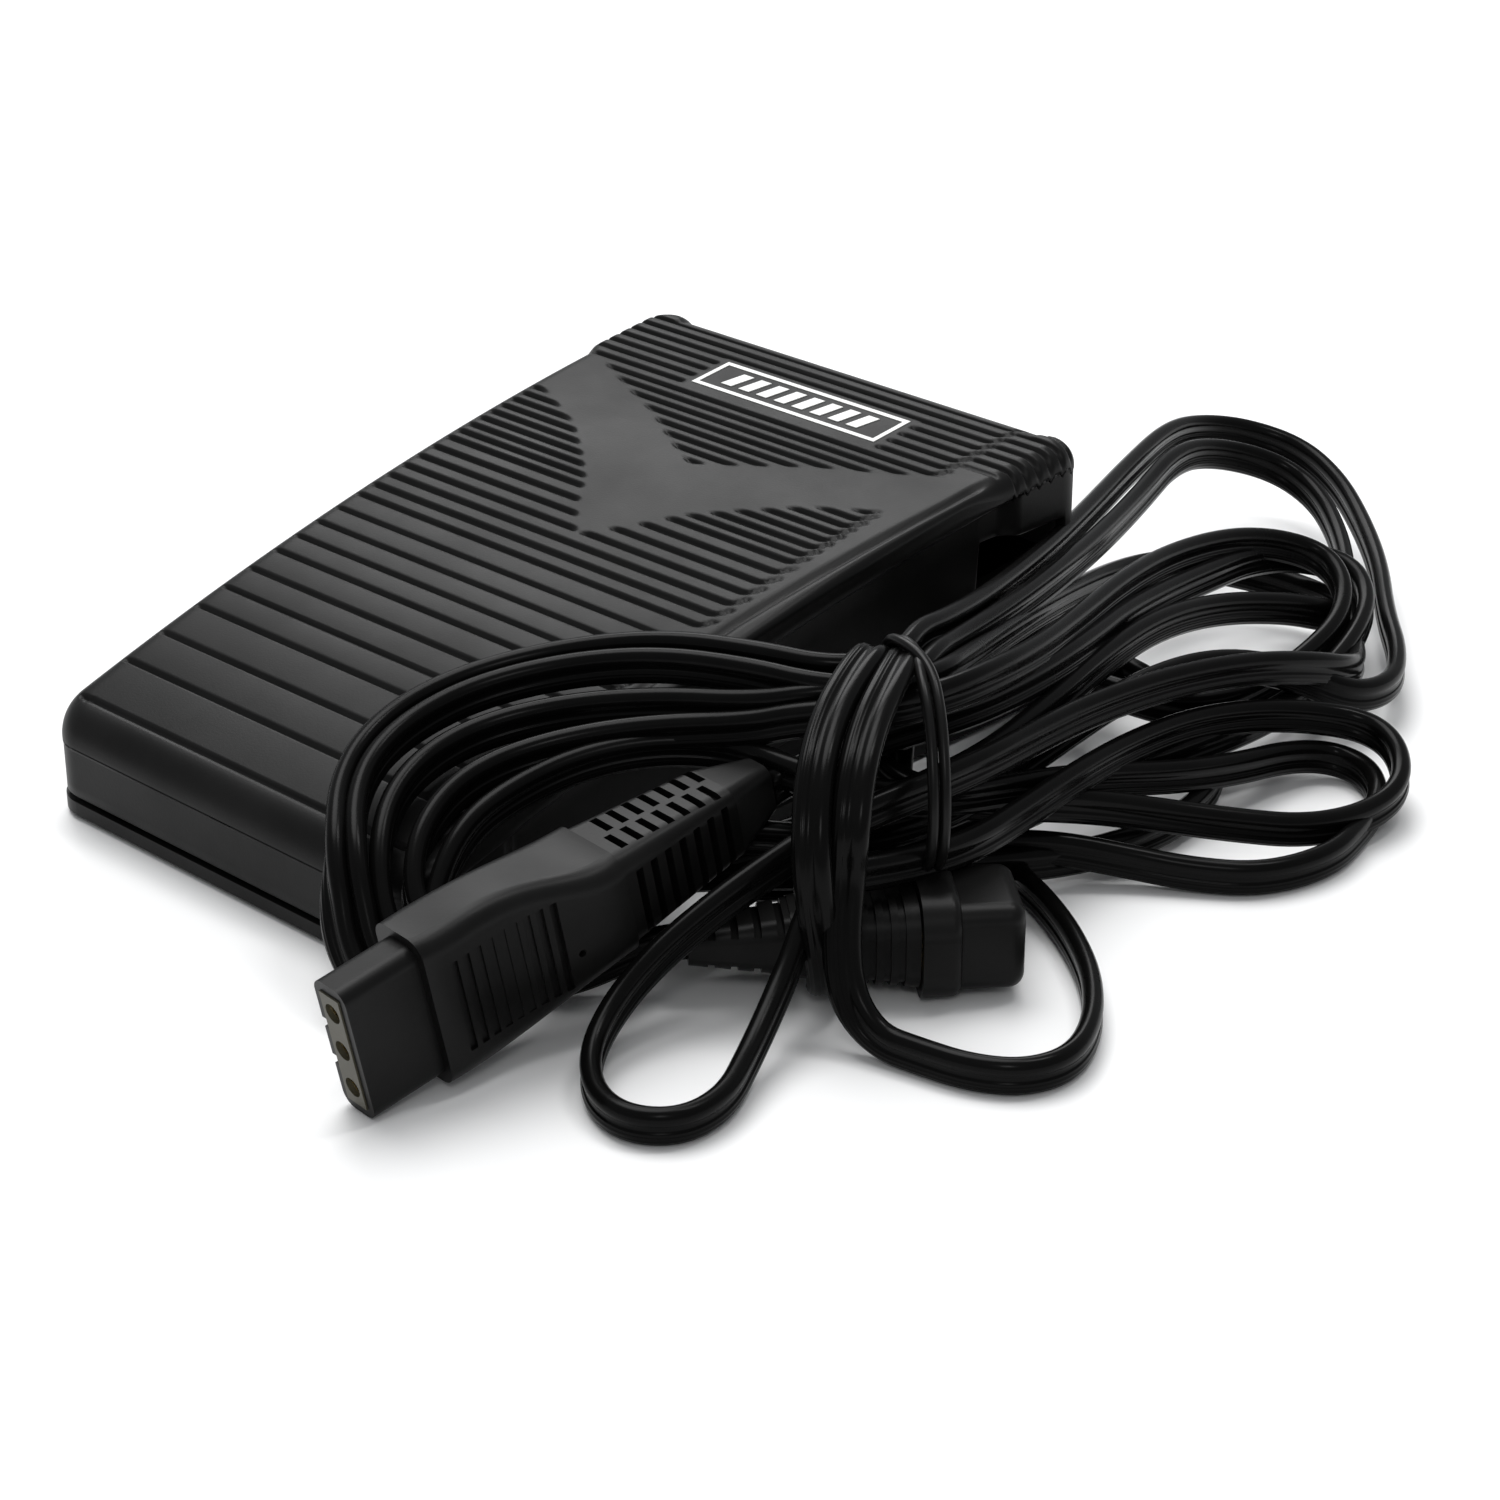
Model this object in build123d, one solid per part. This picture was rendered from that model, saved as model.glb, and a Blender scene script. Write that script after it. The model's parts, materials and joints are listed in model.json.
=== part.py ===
from build123d import *
import math
import os

# Foot control for a sewing machine: a ribbed treadle hinged at its heel on a flat base, a control
# board inside, and two flat twin leads. One lead ends in the three-hole plug for the machine, the
# other in a two-blade wall plug. Both are wound in one hank beside the pedal.
# Millimetres. The origin is on the floor under the pedal's centre, +X is the pedal's right side,
# +Y runs from heel to toe and +Z is up.

# ---- pedal body -------------------------------------------------------------------------------
LENGTH = 162.0              # heel to toe
HALF_LENGTH = LENGTH / 2
HEEL_HALF_WIDTH = 47.5
TOE_HALF_WIDTH = 53.0
HEEL_HEIGHT = 19.1          # the crown's height above the floor at the heel, middle and toe
MIDDLE_HEIGHT = 39.6
TOE_HEIGHT = 50.3
HEEL_ROUND = 5.0            # rounding of the treadle's top edge at the heel and at the toe
TOE_ROUND = 9.0
CORNER_ROUND = 8.0          # plan corners
FOOT_HEIGHT = 1.0           # rubber feet stand out this far below the base plate
PLATE_TOP = 3.5             # top face of the base plate
SKIN = 2.6                  # thickness of the treadle's top
LIP_DEPTH = 4.6             # height of the rim along the treadle's sides
LIP_OVERHANG = 2.6          # how far the rim stands out past the side skirt
SKIRT = 2.0                 # thickness of the side skirts
END_WALL = 2.4              # thickness of the heel and toe walls
GAP = 0.7                   # running gap between the treadle's skirt and the housing

# ---- hinge and travel -------------------------------------------------------------------------
HINGE_Y = -68.0
HINGE_Z = 9.5
PIN_RADIUS = 2.0
PIN_CLEARANCE = 0.05
TRAVEL_DEGREES = 7.0
TRAVEL_SLOPE = math.tan(math.radians(TRAVEL_DEGREES))

# ---- tread pattern ----------------------------------------------------------------------------
FIRST_GROOVE_Y = -75.0
GROOVE_BANDS = ((10.4, 1), (8.4, 2), (6.2, 3), (5.1, 4), (3.85, 6), (2.85, 13), (3.15, 7))
                            # spacing and number of grooves, from the heel forward
GROOVE_WIDTH = 1.0
GROOVE_DEPTH = 0.9
GROOVE_HALF_LENGTH = 41.8
WING_ROOT_Y = 1.7           # tail of the smooth wing-shaped panel, on the centre line
WING_NOTCH_Y = 30.5         # notch of the wing, on the centre line
WING_TIP_X = 46.0
WING_TIP_LOW_Y = 38.6       # the wing's two edges where it meets the side rim
WING_TIP_HIGH_Y = 53.4
LABEL_SIZE = (46.0, 10.5)
LABEL_Y = 60.2
LABEL_MARGIN = 1.5

# ---- electronics ------------------------------------------------------------------------------
BOARD_SIZE = (56.0, 78.0)
BOARD_Y = -12.0
BOARD_BOTTOM = 6.5
BOARD_TOP = 8.1
BOARD_HOLE = (24.0, 35.0)
PLUNGER_Y = -25.0
PLUNGER_TOP = 29.7
PLUNGER_RADIUS = 2.5
PRESS_POST_RADIUS = 2.5
PRESS_POST_GAP = 0.3
METER_TOP = 19.0
SPRING_PLACE = (22.0, 45.0)
SPRING_FOOT_Z = 5.0
SPRING_HEAD_Z = 42.0
STOP_PLACE = (36.0, 26.0)
STOP_TOP = 14.0
BUMPER_HEIGHT = 5.0
CHOKE_PLACE = (-14.0, 6.0)
CHOKE_BOTTOM = BOARD_TOP + 1.0
CHOKE_HEIGHT = 9.0
TERMINAL_PITCH = 5.0
TERMINAL_Y = (17.0, 26.0)

# ---- leads ------------------------------------------------------------------------------------
LEAD_WIDTH = 6.0            # a flat twin lead, two round lobes side by side, drawn as a round tube
TUBE_RADIUS = LEAD_WIDTH / 2
GLAND_Z = 13.0
GLAND_YS = (60.0, 69.4)     # machine lead, mains lead
GLAND_NECK = 3.6
GLAND_REACH = 22.0          # length of each strain relief outside the housing


def half_width(y):
    share = (y + HALF_LENGTH) / LENGTH
    return HEEL_HALF_WIDTH + (TOE_HALF_WIDTH - HEEL_HALF_WIDTH) * share


def crown(y):
    """Height of the treadle's crowned top above the floor, a parabola through the three heights."""
    tilt = (TOE_HEIGHT - HEEL_HEIGHT) / 2
    bulge = MIDDLE_HEIGHT - (TOE_HEIGHT + HEEL_HEIGHT) / 2
    share = y / HALF_LENGTH
    return MIDDLE_HEIGHT + tilt * share - bulge * share * share


def skirt_bottom(y):
    return PLATE_TOP + 0.9 + TRAVEL_SLOPE * max(y - HINGE_Y, 0)


def ring_top(y):
    return 12.0 + 0.9 * TRAVEL_SLOPE * (y - HINGE_Y)


def block(x0, x1, y0, y1, z0, z1):
    return Pos((x0 + x1) / 2, (y0 + y1) / 2, (z0 + z1) / 2) * Box(x1 - x0, y1 - y0, z1 - z0)


def post(x, y, z0, z1, radius):
    return Pos(x, y, (z0 + z1) / 2) * Cylinder(radius, z1 - z0)


def rod_x(x0, x1, y, z, radius):
    return Pos((x0 + x1) / 2, y, z) * Rot(0, 90, 0) * Cylinder(radius, x1 - x0)


def rod_y(x, y0, y1, z, radius):
    return Pos(x, (y0 + y1) / 2, z) * Rot(90, 0, 0) * Cylinder(radius, y1 - y0)


def plan(side_inset, end_inset, z0, z1, corner=CORNER_ROUND):
    """The pedal's plan, narrower at the heel, drawn in from its sides and ends and raised."""
    y = HALF_LENGTH - end_inset
    heel = half_width(-y) - side_inset
    toe = half_width(y) - side_inset
    outline = make_face(Polyline((-heel, -y), (heel, -y), (toe, y), (-toe, y), close=True))
    outline = fillet(outline.vertices(), max(corner - side_inset, 1.5))
    return extrude(Pos(0, 0, z0) * outline, z1 - z0)


def under_crown(drop, bottom=-5.0, reach=70.0):
    """All the space under the treadle's crowned top, lowered by drop, with its two rounded ends."""
    ends = [(-HALF_LENGTH, HEEL_HEIGHT - drop), (0, MIDDLE_HEIGHT - drop), (HALF_LENGTH, TOE_HEIGHT - drop)]
    top = ThreePointArc(*ends)
    sides = Polyline(ends[2], (HALF_LENGTH, bottom), (-HALF_LENGTH, bottom), ends[0])
    profile = make_face(Curve() + [top, sides])
    heel = profile.vertices().sort_by_distance((*ends[0], 0))[0]
    profile = fillet(heel, max(HEEL_ROUND - drop, 1.0))
    toe = profile.vertices().sort_by_distance((*ends[2], 0))[0]
    profile = fillet(toe, max(TOE_ROUND - drop, 1.0))
    return extrude(Plane.YZ * profile, reach, both=True)


def below_line(height_at, y0, y1, bottom=-5.0, reach=70.0):
    """All the space under a straight line that runs from heel to toe."""
    corners = [(y0, bottom), (y1, bottom), (y1, height_at(y1)), (y0, height_at(y0))]
    profile = make_face(Polyline(*corners, close=True))
    return extrude(Plane.YZ * profile, reach, both=True)


def mirrored(solid):
    return solid + mirror(solid, Plane.YZ)


def polygon_slab(points, z0, z1):
    return extrude(Pos(0, 0, z0) * make_face(Polyline(*points, close=True)), z1 - z0)


def screw(x, y, head_z, length, head_radius=2.8, shank_radius=1.3, up=True):
    """A pan-head screw with a cross recess. Its head is at the bottom when it points up."""
    head = Pos(0, 0, -1.0) * Cylinder(head_radius, 2.0)
    slot = Pos(0, 0, -1.7) * (Box(3.2, 0.7, 0.8) + Box(0.7, 3.2, 0.8))
    body = head - slot + Pos(0, 0, length / 2) * Cylinder(shank_radius, length)
    turn = Rot(0, 0, 0) if up else Rot(180, 0, 0)
    return Pos(x, y, head_z) * turn * body


def coil_spring(x, y, z0, z1, radius, wire, turns):
    height = z1 - z0 - 2 * wire
    path = Pos(x, y, z0 + wire) * Helix(height / turns, height, radius)
    start = Plane(origin=path @ 0, z_dir=path % 0)
    return sweep(start * Circle(wire), path=path)


# ---- base -------------------------------------------------------------------------------------
SIDES = (-1, 1)
BOSSES = [(side * (half_width(y) - 10.0), y) for y in (-48.0, 46.0) for side in SIDES]
FEET = [(side * (half_width(y) - 12.0), y) for y in (-66.0, 68.0) for side in SIDES]
BOARD_POSTS = [(side * BOARD_HOLE[0], BOARD_Y + end * BOARD_HOLE[1]) for end in SIDES for side in SIDES]


def base_plate():
    plate = plan(0, 0, FOOT_HEIGHT, PLATE_TOP)
    plate += mirrored(post(*SPRING_PLACE, PLATE_TOP, SPRING_FOOT_Z, 7.5))
    plate += mirrored(post(*SPRING_PLACE, PLATE_TOP, SPRING_FOOT_Z + 6, 4.4))
    plate += mirrored(post(*STOP_PLACE, PLATE_TOP, STOP_TOP - BUMPER_HEIGHT, 5))
    for x, y in BOARD_POSTS:
        plate += post(x, y, PLATE_TOP, BOARD_BOTTOM, 3.2)
        plate -= post(x, y, PLATE_TOP - 0.8, BOARD_BOTTOM, 1.3)
    for x, y in BOSSES:
        plate -= post(x, y, FOOT_HEIGHT - 1, PLATE_TOP + 1, 1.7)
        plate -= post(x, y, FOOT_HEIGHT - 1, FOOT_HEIGHT + 1.3, 3.2)
    for x, y in FEET:
        plate -= post(x, y, FOOT_HEIGHT - 1, PLATE_TOP + 1, 2.4)
    for row in range(5):
        y = -50 + 4 * row
        plate -= block(-14, 14, y, y + 1.6, 0, PLATE_TOP + 1)
    return plate


def base_housing():
    outer = LIP_OVERHANG + SKIRT + GAP
    ring = plan(outer, END_WALL + 2.4, PLATE_TOP, 60) - plan(outer + 2, END_WALL + 4.4, 0, 61)
    ring &= below_line(ring_top, -90, 90)
    inside = plan(outer + 0.2, END_WALL + 3, 0, 61)
    toe_y = HALF_LENGTH - END_WALL - 2.4
    ring += block(-24, 24, toe_y - 1, toe_y + 1.5, skirt_bottom(toe_y) + 2.2, skirt_bottom(toe_y) + 3.6)
    for x, y in BOSSES:
        side = math.copysign(1, x)
        edges = sorted((x, x + side * 9))
        ring += post(x, y, PLATE_TOP, 12, 3.6) + block(*edges, y - 1.2, y + 1.2, PLATE_TOP, 12) & inside
        ring -= post(x, y, 0, 10.5, 1.3)
    for side in SIDES:
        wall = side * (half_width(HINGE_Y) - outer)
        edges = sorted((wall - side * 4.5, wall - side * 0.3))
        ring += rod_x(*edges, HINGE_Y, HINGE_Z, 4.6)
        ring += block(*edges, HINGE_Y - 3, HINGE_Y + 3, PLATE_TOP, HINGE_Z)
    ring -= rod_x(-60, 60, HINGE_Y, HINGE_Z, PIN_RADIUS)
    for y in GLAND_YS:
        ring -= rod_x(30, 60, y, GLAND_Z, GLAND_NECK)
    return ring


def hinge_pin():
    reach = half_width(HINGE_Y) - LIP_OVERHANG - SKIRT - GAP - 0.2
    return rod_x(-reach, reach, HINGE_Y, HINGE_Z, PIN_RADIUS)


def rubber_foot(x, y):
    pad = post(x, y, 0, FOOT_HEIGHT, 6.5)
    pad = fillet(pad.edges().group_by(Axis.Z)[0], 0.4)
    return pad + post(x, y, FOOT_HEIGHT, PLATE_TOP, 2.4)


def base_screws():
    return Compound([screw(x, y, FOOT_HEIGHT + 1.3, 8.0) for x, y in BOSSES])


# ---- treadle ----------------------------------------------------------------------------------
def groove_places():
    y = FIRST_GROOVE_Y
    places = [y]
    for pitch, count in GROOVE_BANDS:
        for _ in range(count):
            y += pitch
            places.append(y)
    return places


def wing_reach(y, root, tip, bend):
    """Distance from the centre line to one edge of the wing at y, or zero below its root."""
    if y <= root:
        return 0.0
    return WING_TIP_X * min((y - root) / (tip - root), 1.0) ** bend


def groove_spans(y):
    """The stretches of one groove right of the centre line, clear of the wing and the label."""
    outer_start = wing_reach(y, WING_ROOT_Y, WING_TIP_LOW_Y, 1.35)
    inner_end = wing_reach(y, WING_NOTCH_Y, WING_TIP_HIGH_Y, 0.95)
    if abs(y - LABEL_Y) < LABEL_SIZE[1] / 2 + LABEL_MARGIN:
        return [(LABEL_SIZE[0] / 2 + LABEL_MARGIN, GROOVE_HALF_LENGTH)]
    if y <= WING_ROOT_Y or inner_end > GROOVE_HALF_LENGTH:
        return [(0, GROOVE_HALF_LENGTH)]
    spans = []
    if inner_end > 3:
        spans.append((0, inner_end - 1.0))
    if outer_start + 2 < GROOVE_HALF_LENGTH:
        spans.append((outer_start + 0.8, GROOVE_HALF_LENGTH))
    return spans


def tread_grooves():
    cuts = []
    half = GROOVE_WIDTH / 2
    for y in groove_places():
        floor = crown(y) - GROOVE_DEPTH
        for start, end in groove_spans(y):
            if start == 0:
                cuts.append(block(-end, end, y - half, y + half, floor, floor + 4))
            else:
                cuts.append(block(start, end, y - half, y + half, floor, floor + 4))
                cuts.append(block(-end, -start, y - half, y + half, floor, floor + 4))
    return cuts


def label_seat():
    """The place and tilt of the label on the crowned top."""
    tilt = math.degrees(math.atan((crown(LABEL_Y + 1) - crown(LABEL_Y - 1)) / 2))
    return Pos(0, LABEL_Y, crown(LABEL_Y)) * Rot(tilt, 0, 0)


def treadle():
    shell = plan(0, 0, PLATE_TOP + 0.9, 70) & under_crown(0)
    rebate = plan(-5, -5, 0, 70) - plan(LIP_OVERHANG, -6, -1, 71)
    rebate &= under_crown(LIP_DEPTH) & block(-80, 80, -58, 60, -5, 70)
    shell -= rebate
    shell -= below_line(skirt_bottom, HINGE_Y, 90)
    cavity = plan(LIP_OVERHANG + SKIRT, END_WALL, 0, 70) & under_crown(SKIN)
    shell -= cavity
    shell -= block(40, 70, GLAND_YS[0] - 7, GLAND_YS[1] + 6, 0, 36)
    toe_y = HALF_LENGTH - END_WALL
    lip_z = skirt_bottom(toe_y - 2)
    shell += block(-22, 22, toe_y - 1.6, toe_y + 0.5, lip_z + 0.2, lip_z + 1.6)
    inside = plan(LIP_OVERHANG + SKIRT - 0.5, END_WALL - 0.5, 0, 70) & under_crown(SKIN - 0.5)
    fittings = mirrored(block(28.8, 30.4, -58, 66, 0, 60)) & (under_crown(0) - under_crown(SKIN + 4))
    for side in SIDES:
        edges = sorted((side * 31.5, side * 35.8))
        fittings += rod_x(*edges, HINGE_Y, HINGE_Z, 4.4)
        fittings += block(*edges, HINGE_Y - 3, HINGE_Y + 4.4, HINGE_Z, 30)
    fittings += mirrored(post(*SPRING_PLACE, SPRING_HEAD_Z, 60, 7.5))
    fittings += mirrored(post(*SPRING_PLACE, SPRING_HEAD_Z - 4, 60, 4.4))
    stop_drop = TRAVEL_SLOPE * (STOP_PLACE[1] - HINGE_Y) + 0.45
    fittings += mirrored(post(*STOP_PLACE, STOP_TOP + stop_drop, 60, 4))
    fittings += post(0, PLUNGER_Y, PLUNGER_TOP + PRESS_POST_GAP, 60, PRESS_POST_RADIUS)
    shell += fittings & inside
    shell -= rod_x(-45, 45, HINGE_Y, HINGE_Z, PIN_RADIUS + PIN_CLEARANCE)
    shell -= label_seat() * Box(LABEL_SIZE[0], LABEL_SIZE[1], 1.2)
    return shell - tread_grooves()


def label_plate():
    width, depth = LABEL_SIZE
    plate = Pos(0, 0, -0.35) * Box(width - 0.2, depth - 0.2, 0.5)
    rim = Pos(0, 0, -0.05) * (Box(width - 0.2, depth - 0.2, 0.3) - Box(width - 2.2, depth - 2.2, 0.4))
    return label_seat() * (plate + rim)


def label_marks():
    """Eight plain slanted bars stand where a label's word would be."""
    bars = []
    for index in range(8):
        x = -15.75 + 4.5 * index
        points = [(x - 1.9, -2.6), (x + 0.7, -2.6), (x + 1.9, 2.6), (x - 0.7, 2.6)]
        bars.append(label_seat() * polygon_slab(points, -0.1, 0.15))
    return Compound(bars)


# ---- controls inside --------------------------------------------------------------------------
def control_board():
    board = Pos(0, BOARD_Y, (BOARD_BOTTOM + BOARD_TOP) / 2) * Box(*BOARD_SIZE, BOARD_TOP - BOARD_BOTTOM)
    for x, y in BOARD_POSTS:
        board -= post(x, y, BOARD_BOTTOM - 1, BOARD_TOP + 1, 1.6)
    return board


def board_screws():
    return Compound([screw(x, y, BOARD_TOP, 5.0, 2.6, 1.3, up=False) for x, y in BOARD_POSTS])


def speed_meter_body():
    body = block(-8, 8, PLUNGER_Y - 7, PLUNGER_Y + 7, BOARD_TOP, METER_TOP)
    body -= post(0, PLUNGER_Y, BOARD_TOP + 1, METER_TOP + 1, PLUNGER_RADIUS + PIN_CLEARANCE)
    body += block(8, 9.5, PLUNGER_Y - 4, PLUNGER_Y + 4, BOARD_TOP, BOARD_TOP + 6)
    return body


def speed_plunger():
    rod = post(0, PLUNGER_Y, METER_TOP - 3.5, PLUNGER_TOP, PLUNGER_RADIUS)
    return rod + post(0, PLUNGER_Y, PLUNGER_TOP - 1.5, PLUNGER_TOP, 5)


def plunger_spring():
    return coil_spring(0, PLUNGER_Y, METER_TOP, PLUNGER_TOP - 1.5, 3.6, 0.35, 5)


def heat_sink():
    fins = block(17, 19, -6, 22, BOARD_TOP, 25)
    for row in range(5):
        y = -6 + 6.5 * row
        fins += block(19, 25, y, y + 2, BOARD_TOP + 3, 25)
    return fins


def triac():
    tab = block(15.6, 17, 4, 14, BOARD_TOP + 9, 24)
    case = block(12.5, 17, 4, 14, BOARD_TOP + 4, BOARD_TOP + 12)
    legs = [block(14, 14.8, 5.6 + 2.5 * n, 6.4 + 2.5 * n, BOARD_TOP, BOARD_TOP + 4) for n in range(3)]
    return tab + case + legs


def choke():
    core = post(*CHOKE_PLACE, CHOKE_BOTTOM, CHOKE_BOTTOM + CHOKE_HEIGHT, 10) - post(*CHOKE_PLACE, 0, 30, 4.4)
    return fillet(core.edges().filter_by(GeomType.CIRCLE), 1.6)


def choke_winding():
    """Copper turns through the ring's hole, made as separate closed loops round its section."""
    loops = []
    for index in range(12):
        loop = Pos(7.2, 0, 0) * (Box(7.6, 1.0, 11) - Box(5.7, 2.0, 9.02))
        loops.append(Pos(*CHOKE_PLACE, CHOKE_BOTTOM + CHOKE_HEIGHT / 2) * Rot(0, 0, 30 * index + 15) * loop)
    return Compound(loops)


def film_capacitor(x, y, width, depth, height):
    can = block(x - width / 2, x + width / 2, y - depth / 2, y + depth / 2, BOARD_TOP, BOARD_TOP + height)
    return fillet(can.edges().filter_by(Axis.Z), 1.0)


def power_resistor():
    body = rod_x(-8, 6, -44, BOARD_TOP + 3.2, 2.4)
    wire = rod_x(-11, 9, -44, BOARD_TOP + 3.2, 0.5)
    legs = [post(x, -44, BOARD_TOP, BOARD_TOP + 3.2, 0.5) for x in (-11, 9)]
    return body + wire + legs


def trimmer():
    body = block(-24, -16, -31, -23, BOARD_TOP, BOARD_TOP + 5)
    knob = post(-20, -27, BOARD_TOP + 5, BOARD_TOP + 7, 2.6)
    return body + knob - block(-22.4, -17.6, -27.4, -26.6, BOARD_TOP + 6, 30)


def terminal_x(index):
    return TERMINAL_PITCH * (index - 1.5)


def terminal_block():
    body = block(-10, 10, *TERMINAL_Y, BOARD_TOP, BOARD_TOP + 10)
    for index in range(4):
        body -= post(terminal_x(index), TERMINAL_Y[0] + 3.5, BOARD_TOP + 7, BOARD_TOP + 11, 1.7)
        body -= rod_y(terminal_x(index), TERMINAL_Y[1] - 3, TERMINAL_Y[1] + 1, BOARD_TOP + 3.5, 1.1)
    return body


def terminal_screws():
    heads = []
    for index in range(4):
        head = post(terminal_x(index), TERMINAL_Y[0] + 3.5, BOARD_TOP + 7, BOARD_TOP + 8.6, 1.6)
        heads.append(head - block(-20, 20, TERMINAL_Y[0] + 3.2, TERMINAL_Y[0] + 3.8, BOARD_TOP + 8, 30))
    return Compound(heads)


def return_spring(side):
    return coil_spring(side * SPRING_PLACE[0], SPRING_PLACE[1], SPRING_FOOT_Z, SPRING_HEAD_Z, 5.6, 0.6, 9)


def stop_bumper(side):
    return post(side * STOP_PLACE[0], STOP_PLACE[1], STOP_TOP - BUMPER_HEIGHT, STOP_TOP, 4.5)


# ---- leads where they enter the housing -------------------------------------------------------
def gland(y):
    """A strain relief moulded on the lead: a collar in the wall's hole and a ribbed taper outside."""
    wall = half_width(y) - LIP_OVERHANG - SKIRT - GAP
    body = rod_x(wall - 3, wall + 1, y, GLAND_Z, GLAND_NECK)
    body += rod_x(wall - 3.4, wall - 2.2, y, GLAND_Z, 4.2)
    body += rod_x(wall + 0.2, wall + 2.0, y, GLAND_Z, 4.6)
    length = GLAND_REACH - 2
    taper = Pos(wall + 2 + length / 2, y, GLAND_Z) * Rot(0, 90, 0) * Cone(3.9, 3.4, length)
    body += taper
    for index in range(5):
        x = wall + 4.2 + 3.6 * index
        body += rod_x(x, x + 1.5, y, GLAND_Z, 4.6 - 0.1 * index)
    return body


def wire_path(points, radius, wire):
    route = FilletPolyline(*points, radius=radius)
    return sweep(Plane(origin=route @ 0, z_dir=route % 0) * Circle(wire), path=route)


def cores(gland_y, first_terminal):
    """The lead's two insulated cores, from the gland's inner end to two screw terminals."""
    wires = []
    for index in range(2):
        shift = 2.6 * index
        start = half_width(gland_y) - LIP_OVERHANG - SKIRT - GAP - 3.4
        x = terminal_x(first_terminal + index)
        y = gland_y - 1.3 + shift
        points = [(start, y, GLAND_Z), (start - 9, y, GLAND_Z), (x, y - 14.7, GLAND_Z)]
        points += [(x, 34, BOARD_TOP + 3.5), (x, 24, BOARD_TOP + 3.5)]
        wires.append(wire_path(points, 4.0, 1.0))
    return Compound(wires)


# ---- plug for the machine ---------------------------------------------------------------------
# In its own frame the plug's axis is +Y from its mouth to its lead, its broad sides face +X and -X
# and it stands on its narrow side. It lies on the floor in front of the heel, tail raised.
MACHINE_PLUG_PLACE = Pos(71.8, -111.5, 0.1) * Rot(0, 0, -6) * Rot(11.5, 0, 0)
NOSE_THICK = 8.0
NOSE_WIDTH = 24.0
NOSE_LENGTH = 14.0
GRIP_THICK = 12.0
GRIP_WIDTH = 27.0
GRIP_LENGTH = 36.0
MACHINE_RELIEF_LENGTH = 34.0
TAIL_THICK = 17.0
TAIL_WIDTH = 19.0
PLUG_MIDDLE_X = -NOSE_THICK / 2 - 0.4
GRIP_GROOVES = 9
GRIP_GROOVE_PITCH = 2.3
GRIP_GROOVE_WIDTH = 1.3
GRIP_GROOVE_DEPTH = 0.2
RELIEF_SLOTS = 7
RELIEF_PITCH = 3.1
RELIEF_SLOT = 1.4
CONTACT_PITCH = 7.0
MACHINE_PLUG_END = NOSE_LENGTH + GRIP_LENGTH + MACHINE_RELIEF_LENGTH


def plug_section(distance, thick, wide, corner):
    """A rounded rectangle across the plug, at a distance from its mouth."""
    centre = Pos(PLUG_MIDDLE_X, distance, NOSE_WIDTH / 2) * Rot(-90, 0, 0)
    return centre * RectangleRounded(thick, wide, corner)


def machine_plug_body():
    """A flat mouth, then a grip that grows narrower and thicker into a square tail."""
    nose = block(-NOSE_THICK, 0, 0.6, NOSE_LENGTH + 2, 0, NOSE_WIDTH)
    nose = fillet(nose.edges().filter_by(Axis.Y), 2.4)
    sections = [plug_section(NOSE_LENGTH, GRIP_THICK, GRIP_WIDTH, 3.2)]
    sections += [plug_section(NOSE_LENGTH + 0.36 * GRIP_LENGTH, GRIP_THICK + 0.4, GRIP_WIDTH - 0.8, 3.2)]
    sections += [plug_section(NOSE_LENGTH + 0.62 * GRIP_LENGTH, GRIP_THICK + 2, GRIP_WIDTH - 4, 3.2)]
    sections += [plug_section(NOSE_LENGTH + 0.84 * GRIP_LENGTH, TAIL_THICK, TAIL_WIDTH, 3.4)]
    sections += [plug_section(NOSE_LENGTH + GRIP_LENGTH, TAIL_THICK, TAIL_WIDTH - 0.6, 3.6)]
    body = nose + loft(sections)
    body -= block(-NOSE_THICK + 1.6, -1.6, -1, 11, 1.8, NOSE_WIDTH - 1.8)
    for z in (NOSE_WIDTH / 2 - CONTACT_PITCH / 2, NOSE_WIDTH / 2 + CONTACT_PITCH / 2):
        body -= block(-NOSE_THICK - 0.1, -NOSE_THICK + 1.7, -1, 10, z - 0.9, z + 0.9)
    for index in range(GRIP_GROOVES):
        y = NOSE_LENGTH + 4 + GRIP_GROOVE_PITCH * index
        bottom = GRIP_THICK / 2 - GRIP_GROOVE_DEPTH + 0.06 * index
        body -= block(PLUG_MIDDLE_X + bottom, 6, y, y + GRIP_GROOVE_WIDTH, 3.5, GRIP_WIDTH - 7)
    body -= rod_x(0, 6, NOSE_LENGTH + 26, 9, 0.6)
    return MACHINE_PLUG_PLACE * body


def machine_plug_insert():
    """The hard moulding in the plug's mouth, with its three contact holes."""
    insert = block(-NOSE_THICK + 1.6, -1.6, 0.3, 11, 1.8, NOSE_WIDTH - 1.8)
    for index in (-1, 0, 1):
        z = NOSE_WIDTH / 2 + CONTACT_PITCH * index
        insert -= rod_y(-NOSE_THICK / 2, -1, 9, z, 1.7)
    return MACHINE_PLUG_PLACE * insert


def machine_plug_contacts():
    """Three brass sleeves in the contact holes."""
    sleeves = []
    for index in (-1, 0, 1):
        z = NOSE_WIDTH / 2 + CONTACT_PITCH * index
        sleeves.append(rod_y(-NOSE_THICK / 2, 1.2, 9, z, 1.7) - rod_y(-NOSE_THICK / 2, 1, 8.4, z, 1.3))
    return MACHINE_PLUG_PLACE * Compound(sleeves)


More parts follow.
